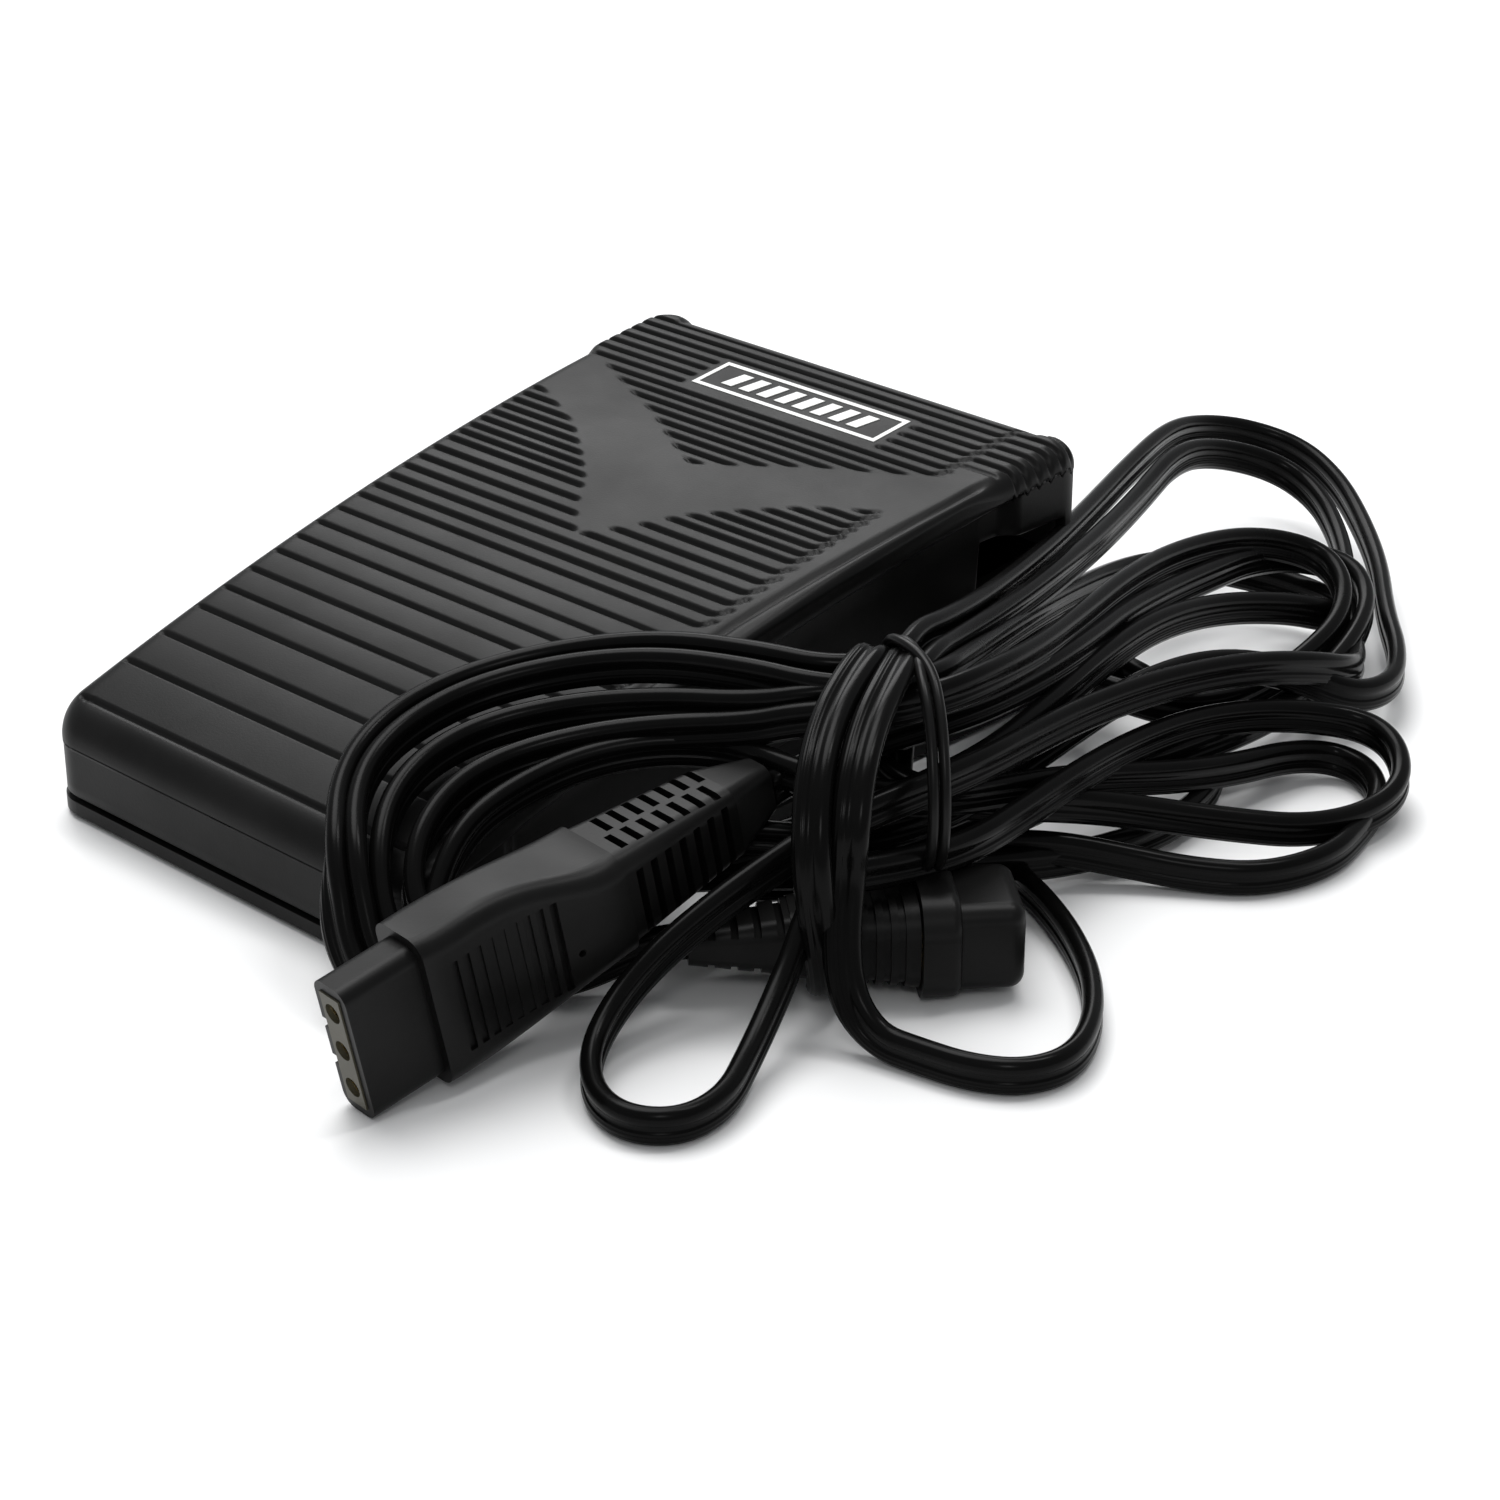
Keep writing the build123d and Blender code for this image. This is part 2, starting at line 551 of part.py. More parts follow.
def machine_plug_relief():
    """A square tail with slots cut in from its four sides, so that it bends with the lead."""
    start = NOSE_LENGTH + GRIP_LENGTH
    middle = NOSE_WIDTH / 2
    square = plug_section(start, TAIL_THICK - 1.4, TAIL_WIDTH - 2, 3)
    waist = plug_section(start + 0.72 * MACHINE_RELIEF_LENGTH, 12, 13, 2.6)
    narrow = plug_section(start + MACHINE_RELIEF_LENGTH, 6.5, 9, 2)
    relief = loft([square, waist, narrow], ruled=True)
    for index in range(RELIEF_SLOTS):
        y = start + 2.6 + RELIEF_PITCH * index
        offset = y + RELIEF_PITCH / 2
        relief -= block(-30, PLUG_MIDDLE_X - 3.8, y, y + RELIEF_SLOT, middle - 6.4, middle + 5)
        relief -= block(PLUG_MIDDLE_X + 3.8, 20, y, y + RELIEF_SLOT, middle - 6.4, middle + 5)
        relief -= block(PLUG_MIDDLE_X - 5, PLUG_MIDDLE_X - 0.5, offset, offset + RELIEF_SLOT, middle + 5.2, 40)
        relief -= block(PLUG_MIDDLE_X + 0.5, PLUG_MIDDLE_X + 5, y, y + RELIEF_SLOT, middle + 5.4, 40)
        relief -= block(PLUG_MIDDLE_X - 4, PLUG_MIDDLE_X + 4, offset, offset + RELIEF_SLOT, -20, middle - 5.2)
    return MACHINE_PLUG_PLACE * relief


# ---- wall plug --------------------------------------------------------------------------------
# Its own frame has +Y from its lead to its blades. It lies on the floor under the tied hank.
WALL_PLUG_PLACE = Pos(78.2, -51.2, 9.2) * Rot(0, 0, -41)
WALL_RELIEF_LENGTH = 16.0
RIB_DEPTH = 0.6
WALL_GROOVES = 7
WALL_GROOVE_PITCH = 2.3
WALL_FACE = 36.0
BLADE_LENGTH = 15.9
BLADE_SPREAD = 6.35
COVER_SHOULDER = WALL_FACE + 6.5
COVER_END = WALL_FACE + BLADE_LENGTH + 0.9


def wall_plug_body():
    centre = Pos(0, WALL_RELIEF_LENGTH, 0) * Rot(-90, 0, 0)
    length = WALL_FACE - WALL_RELIEF_LENGTH
    narrow = centre * RectangleRounded(13, 11, 4)
    wide = centre * Pos(0, 0, length) * RectangleRounded(18, 15, 5)
    body = loft([narrow, wide])
    inner_narrow = centre * RectangleRounded(13 - 2 * RIB_DEPTH, 11 - 2 * RIB_DEPTH, 3.4)
    inner_wide = centre * Pos(0, 0, length) * RectangleRounded(18 - 2 * RIB_DEPTH, 15 - 2 * RIB_DEPTH, 4.4)
    core = loft([inner_narrow, inner_wide])
    for index in range(WALL_GROOVES):
        y = WALL_FACE - 3.4 - WALL_GROOVE_PITCH * index
        body -= block(-15, 15, y, y + 1.1, -12, 12) - core
    for x in (-BLADE_SPREAD, BLADE_SPREAD):
        body -= block(x - 0.8, x + 0.8, WALL_FACE - 9, WALL_FACE + 1, -3.2, 3.2)
    return WALL_PLUG_PLACE * body


def wall_plug_blade(side):
    x = side * BLADE_SPREAD
    blade = block(x - 0.8, x + 0.8, WALL_FACE - 9, WALL_FACE + BLADE_LENGTH, -3.2, 3.2)
    return WALL_PLUG_PLACE * (blade - rod_x(-20, 20, WALL_FACE + 12, 0, 1.5))


def blade_cover():
    """A soft cap pushed over the blades, with a slot for each."""
    shoulder = block(-10.5, 10.5, WALL_FACE + 0.2, COVER_SHOULDER, -9, 9)
    shoulder = fillet(shoulder.edges().filter_by(Axis.Y), 6)
    shoulder = fillet(shoulder.faces().sort_by(Axis.Y)[-1].edges(), 1.5)
    cover = block(-8.8, 8.8, WALL_FACE + 1, COVER_END, -7.5, 7.5)
    cover = fillet(cover.edges().filter_by(Axis.Y), 3)
    cover = shoulder + fillet(cover.faces().sort_by(Axis.Y)[-1].edges(), 2.5)
    for x in (-BLADE_SPREAD, BLADE_SPREAD):
        cover -= block(x - 0.9, x + 0.9, WALL_FACE, WALL_FACE + BLADE_LENGTH + 0.2, -3.3, 3.3)
    return WALL_PLUG_PLACE * cover


def wall_plug_relief():
    centre = Rot(-90, 0, 0)
    narrow = centre * RectangleRounded(8, 6, 2)
    wide = centre * Pos(0, 0, WALL_RELIEF_LENGTH) * RectangleRounded(12, 10, 3)
    relief = loft([narrow, wide])
    for index in range(4):
        y = 3 + 3.6 * index
        relief -= block(-20, 20, y, y + 1.2, 2.2 + 0.25 * index, 20)
        relief -= block(-20, 20, y, y + 1.2, -20, -2.2 - 0.25 * index)
    return WALL_PLUG_PLACE * relief


# ---- free leads -------------------------------------------------------------------------------
# Each route is a hand-laid list of points. Every corner's arc is as large as its two runs allow.
GLAND_EXIT_X = half_width(GLAND_YS[0]) - LIP_OVERHANG - SKIRT - GAP + GLAND_REACH
MACHINE_LEAD_START = [(GLAND_EXIT_X, GLAND_YS[0], GLAND_Z), (84.0, GLAND_YS[0], GLAND_Z)]
MAINS_LEAD_START = [(GLAND_EXIT_X + 0.4, GLAND_YS[1], GLAND_Z), (84.0, GLAND_YS[1], GLAND_Z)]
LOWER_LEFT_LOOP = [(95, -28.5, 29), (91.5, -37, 26), (88.3, -45.5, 22), (85.8, -54.5, 18)]
LOWER_LEFT_LOOP += [(84, -64, 13.5), (83.8, -73, 8.5), (87, -81.5, 4.8), (94, -87.5, 3.2)]
LOWER_LEFT_LOOP += [(102.5, -89.2, 3.2), (109, -84.2, 3.2), (109.3, -75, 3.4), (105, -65.5, 5)]
LOWER_LEFT_LOOP += [(101.5, -57, 8), (99, -50, 12), (97, -44, 17.5), (95, -38.5, 22.5)]
LOWER_RIGHT_LOOP = [(102.5, -41, 26), (105, -45, 17.5), (108, -47, 9), (114, -46.5, 3.6)]
LOWER_RIGHT_LOOP += [(121.5, -45, 3.2), (130, -43.4, 3.2), (137, -39, 3.2), (139.6, -31, 3.2)]
LOWER_RIGHT_LOOP += [(135.8, -21, 3.2), (127.5, -10.5, 3.2), (117.3, -2, 3.2), (106.5, 4.5, 3.4), (96, 7.5, 6)]
WALL_PLUG_LEAD = [(78.16, -51.25, 9.2), (74.2, -55.8, 9.2), (68, -63.6, 4.4), (62.5, -71.5, 3.2)]
WALL_PLUG_LEAD += [(58.3, -80, 3.6), (55.5, -88, 6)]


def lead_tube(name, points):
    corners = [Vector(*point) for point in points]
    runs = [(b - a).length for a, b in zip(corners, corners[1:])]
    if len(points) == 2:
        route = Line(*points)
        radii = []
    else:
        turns = [(b - a).get_angle(c - b) for a, b, c in zip(corners, corners[1:], corners[2:])]
        radii = [0.45 * min(before, after) / math.tan(math.radians(turn / 2))
                 for before, after, turn in zip(runs, runs[1:], turns)]
        route = FilletPolyline(*points, radius=radii)
    tube = sweep(Plane(origin=route @ 0, z_dir=route % 0) * Circle(TUBE_RADIUS), path=route)
    expected = math.pi * TUBE_RADIUS ** 2 * route.length
    shown = [round(radius, 1) for radius in radii]
    print(f"{name}: length {route.length:.1f}, radii {shown}")
    print(f"{name}: volume / section x length {tube.volume / expected:.4f}")
    return tube


def machine_plug_lead():
    """The last straight stretch of the machine lead, from the hank to its plug's strain relief."""
    centre = (-NOSE_THICK / 2 - 0.4, MACHINE_PLUG_END, 12)
    start = (MACHINE_PLUG_PLACE * Pos(*centre)).position
    end = (MACHINE_PLUG_PLACE * Pos(centre[0], centre[1] + 9, centre[2])).position
    return lead_tube("machine_plug_lead", [tuple(start), tuple(end)])


FAN_OUTLINE = [(56, 4), (58, -26), (80, -26), (88, -40), (98, -47), (106, -42), (112, -14)]
FAN_OUTLINE += [(104, 12), (122, 16), (142, 30), (150, 62), (140, 92), (118, 124), (84, 160)]
FAN_OUTLINE += [(56, 177), (36, 181), (18, 172), (14, 150), (34, 104), (58, 86)]
LEFT_OUTLINE = [(62, -12), (30, -16), (18, -42), (20, -68), (33, -93), (56, -97), (58.5, -84)]
LEFT_OUTLINE += [(58.5, -27), (62, -26)]
HANK_TOP = 48.0


def cord_hank():
    """The outer shape of both leads' turns: a fan behind the toe, a tied waist, and a lobe that
    lies on the treadle's heel corner and comes down in front of it."""
    fan = polygon_slab(FAN_OUTLINE, 0.4, HANK_TOP)
    fall_back = make_face(Polyline((-60, 0), (190, 0), (190, 17), (20, 48.5), (-60, 48.5), close=True))
    fall_out = make_face(Polyline((0, 0), (170, 0), (170, 8), (96, 49), (0, 49), close=True))
    fan &= extrude(Plane.YZ * fall_back, 200)
    fan &= extrude(Plane.XZ * fall_out, 200, both=True)
    fan -= WALL_PLUG_PLACE * block(-11.5, 11.5, -4, COVER_END + 1, -12, 11.5)
    fan -= block(40, 84, 50, 82, -1, 24)
    lobe = polygon_slab(LEFT_OUTLINE, 2.0, 47)
    over = block(0, 70, -HALF_LENGTH, 0, -1, 60) & under_crown(-14, reach=75)
    front = block(0, 70, -100, -HALF_LENGTH + 1, -1, 30)
    lobe &= over + front
    pedal_space = under_crown(-1.4, reach=75) + block(-80, 80, -90, -80, -1, 22)
    lobe -= plan(-3.0, -3.0, -1, 70, corner=5.0) & pedal_space
    return fan + lobe - plan(-3.0, -3.0, -1, 24, corner=5.0)


def hank_tie(hank):
    """A flat plastic tie round the hank's waist, closed against the turns it holds."""
    ring = Pos(92, -15, 0) * Rot(0, 0, -28.6) * block(-15, 15, -2, 2, 20, HANK_TOP + 0.9)
    return ring - hank


def write_all(nodes):
    os.makedirs("parts", exist_ok=True)
    for name, shape in nodes.items():
        export_step(shape, f"parts/{name}.step")


def main():
    hank = cord_hank()
    nodes = {
        "base_plate": base_plate(),
        "base_housing": base_housing(),
        "base_screws": base_screws(),
        "treadle": treadle(),
        "label_plate": label_plate(),
        "label_marks": label_marks(),
        "hinge_pin": hinge_pin(),
        "control_board": control_board(),
        "board_screws": board_screws(),
        "speed_meter_body": speed_meter_body(),
        "speed_plunger": speed_plunger(),
        "plunger_spring": plunger_spring(),
        "heat_sink": heat_sink(),
        "triac": triac(),
        "choke_core": choke(),
        "choke_winding": choke_winding(),
        "film_capacitor": film_capacitor(-17, -12, 18, 7, 13),
        "suppressor_capacitor": film_capacitor(21, -26, 8, 15, 11),
        "power_resistor": power_resistor(),
        "trimmer": trimmer(),
        "terminal_block": terminal_block(),
        "terminal_screws": terminal_screws(),
        "left_return_spring": return_spring(-1),
        "right_return_spring": return_spring(1),
        "left_stop_bumper": stop_bumper(-1),
        "right_stop_bumper": stop_bumper(1),
        "machine_lead_gland": gland(GLAND_YS[0]),
        "mains_lead_gland": gland(GLAND_YS[1]),
        "machine_lead_cores": cores(GLAND_YS[0], 2),
        "mains_lead_cores": cores(GLAND_YS[1], 0),
        "machine_plug_body": machine_plug_body(),
        "machine_plug_insert": machine_plug_insert(),
        "machine_plug_contacts": machine_plug_contacts(),
        "machine_plug_relief": machine_plug_relief(),
        "wall_plug_body": wall_plug_body(),
        "wall_plug_relief": wall_plug_relief(),
        "wall_plug_left_blade": wall_plug_blade(-1),
        "wall_plug_right_blade": wall_plug_blade(1),
        "blade_cover": blade_cover(),
        "machine_lead_start": lead_tube("machine_lead_start", MACHINE_LEAD_START),
        "mains_lead_start": lead_tube("mains_lead_start", MAINS_LEAD_START),
        "machine_plug_lead": machine_plug_lead(),
        "wall_plug_lead": lead_tube("wall_plug_lead", WALL_PLUG_LEAD),
        "lower_left_loop": lead_tube("lower_left_loop", LOWER_LEFT_LOOP),
        "lower_right_loop": lead_tube("lower_right_loop", LOWER_RIGHT_LOOP),
        "cord_hank": hank,
        "hank_tie": hank_tie(hank),
    }
    for index, (x, y) in enumerate(FEET):
        nodes[f"rubber_foot_{index + 1}"] = rubber_foot(x, y)
    write_all(nodes)


main()
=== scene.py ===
import json
import math

import bmesh
import bpy
import numpy as np
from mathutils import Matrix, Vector


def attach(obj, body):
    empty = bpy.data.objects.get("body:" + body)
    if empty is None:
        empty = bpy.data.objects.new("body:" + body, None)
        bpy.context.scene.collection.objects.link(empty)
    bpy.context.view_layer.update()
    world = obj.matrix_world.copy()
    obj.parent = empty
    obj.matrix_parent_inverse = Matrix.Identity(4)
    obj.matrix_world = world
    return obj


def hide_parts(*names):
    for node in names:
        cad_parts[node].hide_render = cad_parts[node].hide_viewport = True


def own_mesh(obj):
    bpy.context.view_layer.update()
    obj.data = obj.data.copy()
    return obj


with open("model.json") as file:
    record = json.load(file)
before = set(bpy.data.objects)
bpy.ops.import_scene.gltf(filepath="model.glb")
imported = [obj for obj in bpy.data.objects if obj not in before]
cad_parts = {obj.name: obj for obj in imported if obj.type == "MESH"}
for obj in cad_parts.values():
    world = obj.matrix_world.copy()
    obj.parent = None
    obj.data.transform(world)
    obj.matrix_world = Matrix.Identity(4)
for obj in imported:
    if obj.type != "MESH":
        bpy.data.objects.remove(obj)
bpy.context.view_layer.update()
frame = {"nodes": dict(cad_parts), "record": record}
nodes = frame["nodes"]


# ---- camera, floor and light --------------------------------------------------------------------
def make_camera():
    data = bpy.data.cameras.new("camera")
    data.lens = 86.4
    data.sensor_width = 36.0
    data.clip_start = 0.01
    data.clip_end = 20.0
    camera = bpy.data.objects.new("camera", data)
    camera.location = (0.4237, -0.4051, 0.2871)
    forward = Vector((-0.6132, 0.6540, -0.4431))
    camera.rotation_mode = "QUATERNION"
    camera.rotation_quaternion = forward.to_track_quat("-Z", "Y")
    bpy.context.scene.collection.objects.link(camera)
    bpy.context.scene.camera = camera


def area_light(name, place, target, size, power):
    data = bpy.data.lights.new(name, "AREA")
    data.shape = "RECTANGLE"
    data.size = size[0]
    data.size_y = size[1]
    data.energy = power
    lamp = bpy.data.objects.new(name, data)
    lamp.location = place
    aim = Vector(target) - Vector(place)
    lamp.rotation_mode = "QUATERNION"
    lamp.rotation_quaternion = aim.to_track_quat("-Z", "Y")
    bpy.context.scene.collection.objects.link(lamp)


def make_surroundings():
    bpy.ops.mesh.primitive_plane_add(size=40.0, location=(0, 0, 0))
    floor = bpy.context.object
    floor.name = "studio_floor"
    floor.data.materials.append(plain_floor())
    world = bpy.data.worlds.new("studio")
    bpy.context.scene.world = world
    world.use_nodes = True
    background = world.node_tree.nodes["Background"]
    background.inputs["Color"].default_value = (0.96, 0.98, 1.0, 1)
    background.inputs["Strength"].default_value = 0.38
    data = bpy.data.lights.new("overhead", "SUN")
    data.energy = 2.1
    data.angle = math.radians(38)
    lamp = bpy.data.objects.new("overhead", data)
    lamp.rotation_mode = "QUATERNION"
    lamp.rotation_quaternion = Vector((0.35, -0.12, -0.93)).to_track_quat("-Z", "Y")
    bpy.context.scene.collection.objects.link(lamp)
    area_light("sheen", (-0.95, 0.85, 0.95), (0, 0.02, 0.04), (0.9, 0.6), 7.0)
    area_light("window", (0.25, 0.35, 1.1), (0.07, 0.02, 0.02), (0.16, 0.3), 2.2)
    area_light("front", (0.75, -0.75, 0.9), (0.05, -0.03, 0.02), (0.25, 0.25), 1.6)
    bpy.context.scene.view_settings.view_transform = "Standard"


# ---- materials ----------------------------------------------------------------------------------
class Shader:
    """A small helper that wires a Principled material node by node."""

    def __init__(self, name):
        self.material = bpy.data.materials.new(name)
        self.material.use_nodes = True
        self.tree = self.material.node_tree
        self.main = self.tree.nodes["Principled BSDF"]
        self.coords = self.add("ShaderNodeTexCoord").outputs["Object"]
        self.height = None

    def add(self, kind):
        return self.tree.nodes.new(kind)

    def link(self, source, target):
        self.tree.links.new(source, target)

    def noise(self, scale, detail=4.0, rough=0.55, stretch=(1, 1, 1)):
        mapping = self.add("ShaderNodeMapping")
        mapping.inputs["Scale"].default_value = stretch
        self.link(self.coords, mapping.inputs["Vector"])
        node = self.add("ShaderNodeTexNoise")
        node.inputs["Scale"].default_value = scale
        node.inputs["Detail"].default_value = detail
        node.inputs["Roughness"].default_value = rough
        self.link(mapping.outputs["Vector"], node.inputs["Vector"])
        return node.outputs["Fac"]

    def ramp(self, value, stops):
        node = self.add("ShaderNodeValToRGB")
        ramp = node.color_ramp
        while len(ramp.elements) < len(stops):
            ramp.elements.new(0.5)
        for element, (place, color) in zip(ramp.elements, stops):
            element.position = place
            element.color = (*color, 1)
        self.link(value, node.inputs["Fac"])
        return node.outputs["Color"]

    def spread(self, value, low, high, start=0.3, end=0.7):
        node = self.add("ShaderNodeMapRange")
        node.inputs["From Min"].default_value = start
        node.inputs["From Max"].default_value = end
        node.inputs["To Min"].default_value = low
        node.inputs["To Max"].default_value = high
        self.link(value, node.inputs["Value"])
        return node.outputs["Result"]

    def bump(self, value, depth, strength=1.0):
        node = self.add("ShaderNodeBump")
        node.inputs["Strength"].default_value = strength
        node.inputs["Distance"].default_value = depth
        self.link(value, node.inputs["Height"])
        if self.height is not None:
            self.link(self.height, node.inputs["Normal"])
        self.height = node.outputs["Normal"]
        self.link(self.height, self.main.inputs["Normal"])

    def set(self, **values):
        for key, value in values.items():
            self.main.inputs[key.replace("_", " ")].default_value = value


def plain_floor():
    shader = Shader("floor_card")
    tone = shader.ramp(shader.noise(3.0, 2.0), [(0.0, (0.90, 0.90, 0.90)), (1.0, (0.93, 0.93, 0.93))])
    shader.link(tone, shader.main.inputs["Base Color"])
    shader.set(Roughness=0.6)
    return shader.material


def moulded_black(name, dark, light, rough, grain, depth, sheen=0.5, warm=(1.0, 0.98, 0.96)):
    """Black plastic: faint mottling, a fine spark-eroded grain, and dust that dulls it in patches."""
    shader = Shader(name)
    low = tuple(dark * c for c in warm)
    high = tuple(light * c for c in warm)
    mottle = shader.noise(60.0, 5.0)
    color = shader.ramp(mottle, [(0.35, low), (0.65, high)])
    shader.link(color, shader.main.inputs["Base Color"])
    dull = shader.noise(25.0, 6.0, 0.65)
    shader.link(shader.spread(dull, rough - 0.06, rough + 0.08), shader.main.inputs["Roughness"])
    shader.bump(shader.noise(grain, 3.0, 0.5), depth, 0.6)
    shader.set(Specular_IOR_Level=sheen)
    return shader.material


def plain_metal(name, color, rough, stretch=(1, 1, 1), scale=900.0):
    shader = Shader(name)
    tone = shader.noise(40.0, 4.0)
    tint = shader.ramp(tone, [(0.3, tuple(0.8 * c for c in color)), (0.7, color)])
    shader.link(tint, shader.main.inputs["Base Color"])
    brush = shader.noise(scale, 3.0, 0.5, stretch)
    shader.link(shader.spread(brush, rough - 0.05, rough + 0.1), shader.main.inputs["Roughness"])
    shader.bump(brush, 0.00002, 0.4)
    shader.set(Metallic=1.0)
    return shader.material


def plain_plastic(name, color, rough=0.4, grain=1500.0, depth=0.00002, coat=0.0):
    shader = Shader(name)
    tone = shader.noise(80.0, 4.0)
    tint = shader.ramp(tone, [(0.3, tuple(0.85 * c for c in color)), (0.7, color)])
    shader.link(tint, shader.main.inputs["Base Color"])
    dull = shader.spread(shader.noise(30.0, 4.0), rough - 0.05, rough + 0.07)
    shader.link(dull, shader.main.inputs["Roughness"])
    shader.bump(shader.noise(grain, 2.0), depth, 0.5)
    shader.set(Coat_Weight=coat)
    return shader.material


# ---- mesh helpers -------------------------------------------------------------------------------
def new_piece(name, vertices, faces, body, material):
    mesh = bpy.data.meshes.new(name)
    mesh.from_pydata([tuple(v) for v in vertices], [], faces)
    mesh.validate()
    mesh.update()
    mesh.shade_smooth()
    piece = bpy.data.objects.new(name, mesh)
    bpy.context.scene.collection.objects.link(piece)
    mesh.materials.append(material)
    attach(piece, body)
    return piece


# ---- treadle ------------------------------------------------------------------------------------
# Millimetres, turned into metres at the end. The treadle's axis is Y, its heel at -Y.
MM = 0.001
HALF_LENGTH = 81.0
HEEL_HALF_WIDTH = 47.5
TOE_HALF_WIDTH = 53.0
CORNER = 8.0
HINGE_Y = -68.0
TRAVEL_DEGREES = 7.0
# the tread's height at its middle, its climb from there to the toe, and how much that flattens
CROWN_HEIGHT = 39.6
CROWN_CLIMB = 15.6
CROWN_CURVE = 4.9
FLOOR_GAP = 4.4
WALL = 2.2
GROOVE_ENDS = 41.8
HOOK_START = 39.4
HOOK_RUN = 2.4
HOOK_RISE = 2.6
REBATE_DEPTH = 2.6
FIRST_GROOVE = -75.0
# pitch between grooves and how many grooves follow at that pitch, from heel to toe
GROOVE_PITCHES = ((10.4, 1), (8.4, 2), (6.2, 3), (5.1, 4), (3.85, 6), (2.85, 13), (3.15, 7))
# the wing panel's two edges: distance from the middle line, and place along the treadle
WING_LOW_X = [0, 4.6, 7.6, 12.6, 19.4, 29.8, 41.7, 47]
WING_LOW_Y = [1.7, 6.5, 9.8, 16.5, 22.5, 30.5, 36.2, 38.5]
WING_HIGH_X = [0, 8, 20, 32.5, 42.5, 47]
WING_HIGH_Y = [30.5, 34.5, 41.5, 46.9, 51.7, 53.6]
LABEL_Y = 60.2
# the skirt is cut up to this height over the two glands, so that it clears them when pressed
NOTCH_TOP = 36.0
NOTCH_HEEL_EDGE = (52.5, 54.0)
NOTCH_TOE_EDGE = (74.0, 75.5)


def half_width(y):
    growth = TOE_HALF_WIDTH - HEEL_HALF_WIDTH
    return HEEL_HALF_WIDTH + growth * (y + HALF_LENGTH) / (2 * HALF_LENGTH)


def crown(y):
    share = y / HALF_LENGTH
    return CROWN_HEIGHT + CROWN_CLIMB * share - CROWN_CURVE * share * share


def skirt_bottom(y):
    return FLOOR_GAP + math.tan(math.radians(TRAVEL_DEGREES)) * max(y - HINGE_Y, 0.0)


def groove_places():
    places = [FIRST_GROOVE]
    for pitch, count in GROOVE_PITCHES:
        for _ in range(count):
            places.append(places[-1] + pitch)
    return np.array(places)


GROOVES = groove_places()


def wing_low(x):
    """The wing panel's heel-side edge, a curve that rises from its tail to the side rim."""
    return np.interp(np.abs(x), WING_LOW_X, WING_LOW_Y)


def wing_high(x):
    """The wing panel's toe-side edge, a shallow notch."""
    return np.interp(np.abs(x), WING_HIGH_X, WING_HIGH_Y)


def smooth_step(value, start, end):
    t = np.clip((value - start) / (end - start), 0, 1)
    return t * t * (3 - 2 * t)


def tread_drop(x, y):
    """How far the tread lies below its crown: grooves between gently rounded ribs.

    On the side with the leads a groove turns towards the toe and stops short of the edge. On the
    other side it runs on straight to near the edge. Close to the toe the grooves go over both
    edges. The wing panel and the label's place have none.
    """
    ax = np.abs(x)
    hook = HOOK_RISE * np.clip((x - HOOK_START) / HOOK_RUN, 0, 1) ** 2
    yy = y - hook
    index = np.clip(np.searchsorted(GROOVES, yy), 1, len(GROOVES) - 1)
    before = GROOVES[index - 1]
    after = GROOVES[index]
    pitch = after - before
    near = np.minimum(np.abs(yy - before), np.abs(yy - after))
    wide = np.where(pitch < 4, 0.58, 0.42)
    groove = 1 - smooth_step(near, 0.25 * wide, 1.55 * wide)
    inside = (yy > GROOVES[0] - 1.2) & (yy < GROOVES[-1] + 1.2)
    stop = np.where(x < 0, half_width(y) - 4.0, GROOVE_ENDS)
    ends = 1 - smooth_step(ax, stop - 0.2, stop + 0.7)
    over_toe = smooth_step(y, 56.0, 58.5)
    ends = np.maximum(ends, over_toe)
    wing = smooth_step(y - wing_low(x), -0.9, 0.2)
    wing = wing * (1 - smooth_step(y - wing_high(x), -0.2, 0.9))
    label = (1 - smooth_step(ax, 24.3, 25.1)) * (1 - smooth_step(np.abs(y - LABEL_Y), 6.2, 7.0))
    swell = 0.16 * np.clip(pitch - 3, 0, 3) / 3 * (1 - np.clip(near / (pitch / 2), 0, 1)) ** 2
    cut = (groove + swell * (1 - groove)) * ends * (1 - wing) * (1 - label)
    return np.where(inside, cut, 0.0)


def side_channel(x, y):
    """The channel and the rounded rib along the tread's edge on the side with the leads."""
    centre = 46.2 + 2.8 * np.clip((y + 5) / 50.0, 0, 1)
    away = np.abs(x) - (half_width(y) - (49.9 - centre))
    channel = np.exp(-((away + 1.2) / 0.8) ** 2) * 0.9
    rib = np.exp(-((away - 1.0) / 0.9) ** 2) * 0.25
    fade = smooth_step(y, -74, -68) * (1 - smooth_step(y, 50, 57))
    return (channel - rib) * fade * (x > 0)


def edge_places(limit, rounding, inner_step):
    """Places from -limit to limit, close together where the edges round over."""
    flat = limit - rounding
    count = int(round(2 * flat / inner_step))
    middle = np.linspace(-flat, flat, count + 1)
    turn = np.sin(np.linspace(0, math.pi / 2, 13)[1:]) * rounding
    return np.concatenate([-(flat + turn[::-1]), middle, flat + turn])


